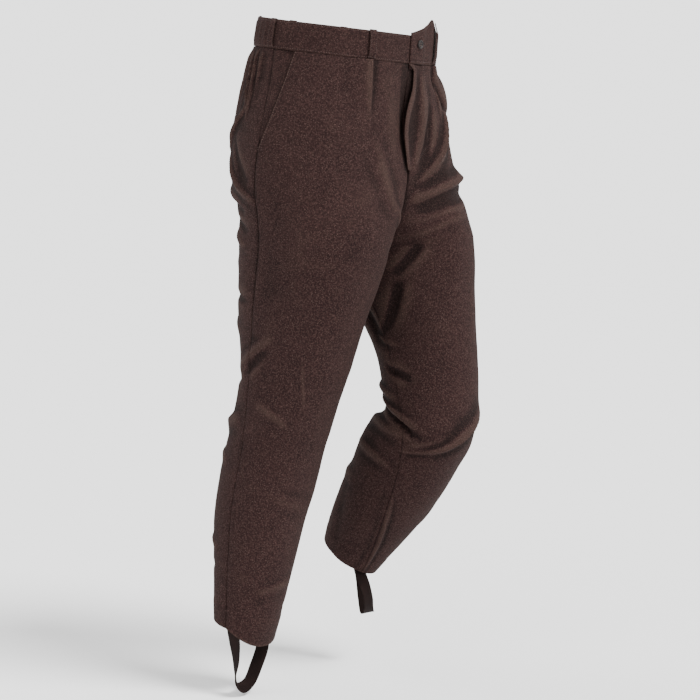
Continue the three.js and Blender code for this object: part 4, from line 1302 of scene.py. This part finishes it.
def buttonRuns():
    place, turn = buttonPlace()
    runs = []
    for row in (-button["threadOut"], button["threadOut"]):
        for apart in (-button["threadApart"], 0.0, button["threadApart"]):
            x = np.linspace(-button["threadReach"], button["threadReach"], 12)
            bow = button["threadBow"] * (1 - (x / button["threadReach"]) ** 2)
            high = button["thick"] * button["dish"] + 0.25 + bow
            low = np.stack((x, high, np.full(12, row + apart)), -1) @ turn.T + place
            runs.append((low, np.tile(turn @ np.array((0, 1.0, 0)), (12, 1))))
    return runs


stitchRun = stitchTree(thread)
loopLines = [run for name, side, half, share in loop["places"] for run in loopRuns(side, half, share)]
stitches = [
    *(stitchPiece("seam_stitches_" + words[side], sideRuns(side), stitchRun) for side in (right, left)),
    stitchPiece("fly_stitches", flyRuns(), stitchRun),
    stitchPiece("loop_stitches", loopLines, stitchRun, sewing["loops"]),
    stitchPiece("button_thread", buttonRuns(), stitchRun, sewing["button"]),
]
print("trousers: sewing made")


# what each piece rides on, and the hiding of the frame parts that the pieces take the place of
for piece in cloths + [*straps.values(), disc] + stitches:
    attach(piece, "root")
for (side, half), piece in panels.items():
    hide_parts(("front_" if half == front else "back_") + words[side])
for side in (right, left):
    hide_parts("pocket_facing_" + words[side])
    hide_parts("waistband_" + words[side])
    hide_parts("stirrup_" + words[side])
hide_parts("fly_shield")
for name, piece in loops.items():
    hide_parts("belt_loop_" + name)
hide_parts("waist_button")
for piece in cloths + stitches:
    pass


def panelArea(half):
    ats = np.linspace(0, cut["hemAt"], 60)
    widths = panelWidth(half, ats)
    return float(widths.max()), float(((widths[1:] + widths[:-1]) / 2 * np.diff(ats)).sum() / 1e6)


for (side, half), piece in panels.items():
    widest, area = panelArea(half)
    long = cut["hemAt"] + panelCut["hemDrop"][side] * (half == front)
    turnedIn = [allowances["side", side], allowances["inside", side]] if half == front else [allowances["waist", side]]
    if side == right:
        turnedIn.append(allowances["centre", half])
for side in (right, left):
    around = panelWidth(front, 0) + panelWidth(back, 0) + (fly["topLap"] if side == left else band["underlap"])
    # a facing is cut to a point under the slanted pocket
    area = (panelCut["pocketTop"] * 0.52 + facing["lap"]) * facingLong / 1e6


# floor and light
studio = {
    "floorDrop": 0.006, "floorReach": 14.0, "floorColour": (0.9, 0.9, 0.9, 1),
    "world": 0.9, "backdrop": 2.4, "target": (0, 0, -0.5),
    "lamps": [  # name, place, spread and strength
        ("key", (0.1, -2.0, 1.9), 0.4, 5.6), ("fill", (-2.4, -0.4, 1.6), 1.0, 1.2), ("rim", (-0.6, 2.2, 2.0), 0.8, 1.0),
    ],
}


def makeStudio():
    low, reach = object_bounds()[0][2] - studio["floorDrop"], studio["floorReach"]
    mesh = bpy.data.meshes.new("floor")
    mesh.from_pydata([(-reach, -reach, low), (reach, -reach, low), (reach, reach, low), (-reach, reach, low)], [], [(0, 1, 2, 3)])
    floor = bpy.data.objects.new("floor", mesh)
    bpy.context.scene.collection.objects.link(floor)
    mesh.materials.append(Finish("paleFloor", **{"Roughness": 0.9, "Base Color": studio["floorColour"]}).material)
    world = bpy.data.worlds.new("studio")
    world.use_nodes = True
    tree = world.node_tree
    back = tree.nodes["Background"]
    back.inputs["Color"].default_value = (1, 1, 1, 1)
    # the backdrop is lit more than the light that reaches the cloth
    path = tree.nodes.new("ShaderNodeLightPath")
    seen = Value(tree, path.outputs["Is Camera Ray"]) * (studio["backdrop"] - studio["world"]) + studio["world"]
    tree.links.new(seen.socket, back.inputs["Strength"])
    bpy.context.scene.world = world
    for name, place, spread, strength in studio["lamps"]:
        data = bpy.data.lights.new(name, "SUN")
        data.angle, data.energy = spread, strength
        lamp = bpy.data.objects.new(name, data)
        lamp.location = place
        lamp.rotation_euler = (Vector(studio["target"]) - Vector(place)).to_track_quat("-Z", "Y").to_euler()
        bpy.context.scene.collection.objects.link(lamp)


makeStudio()

print("trousers: floor and light made")
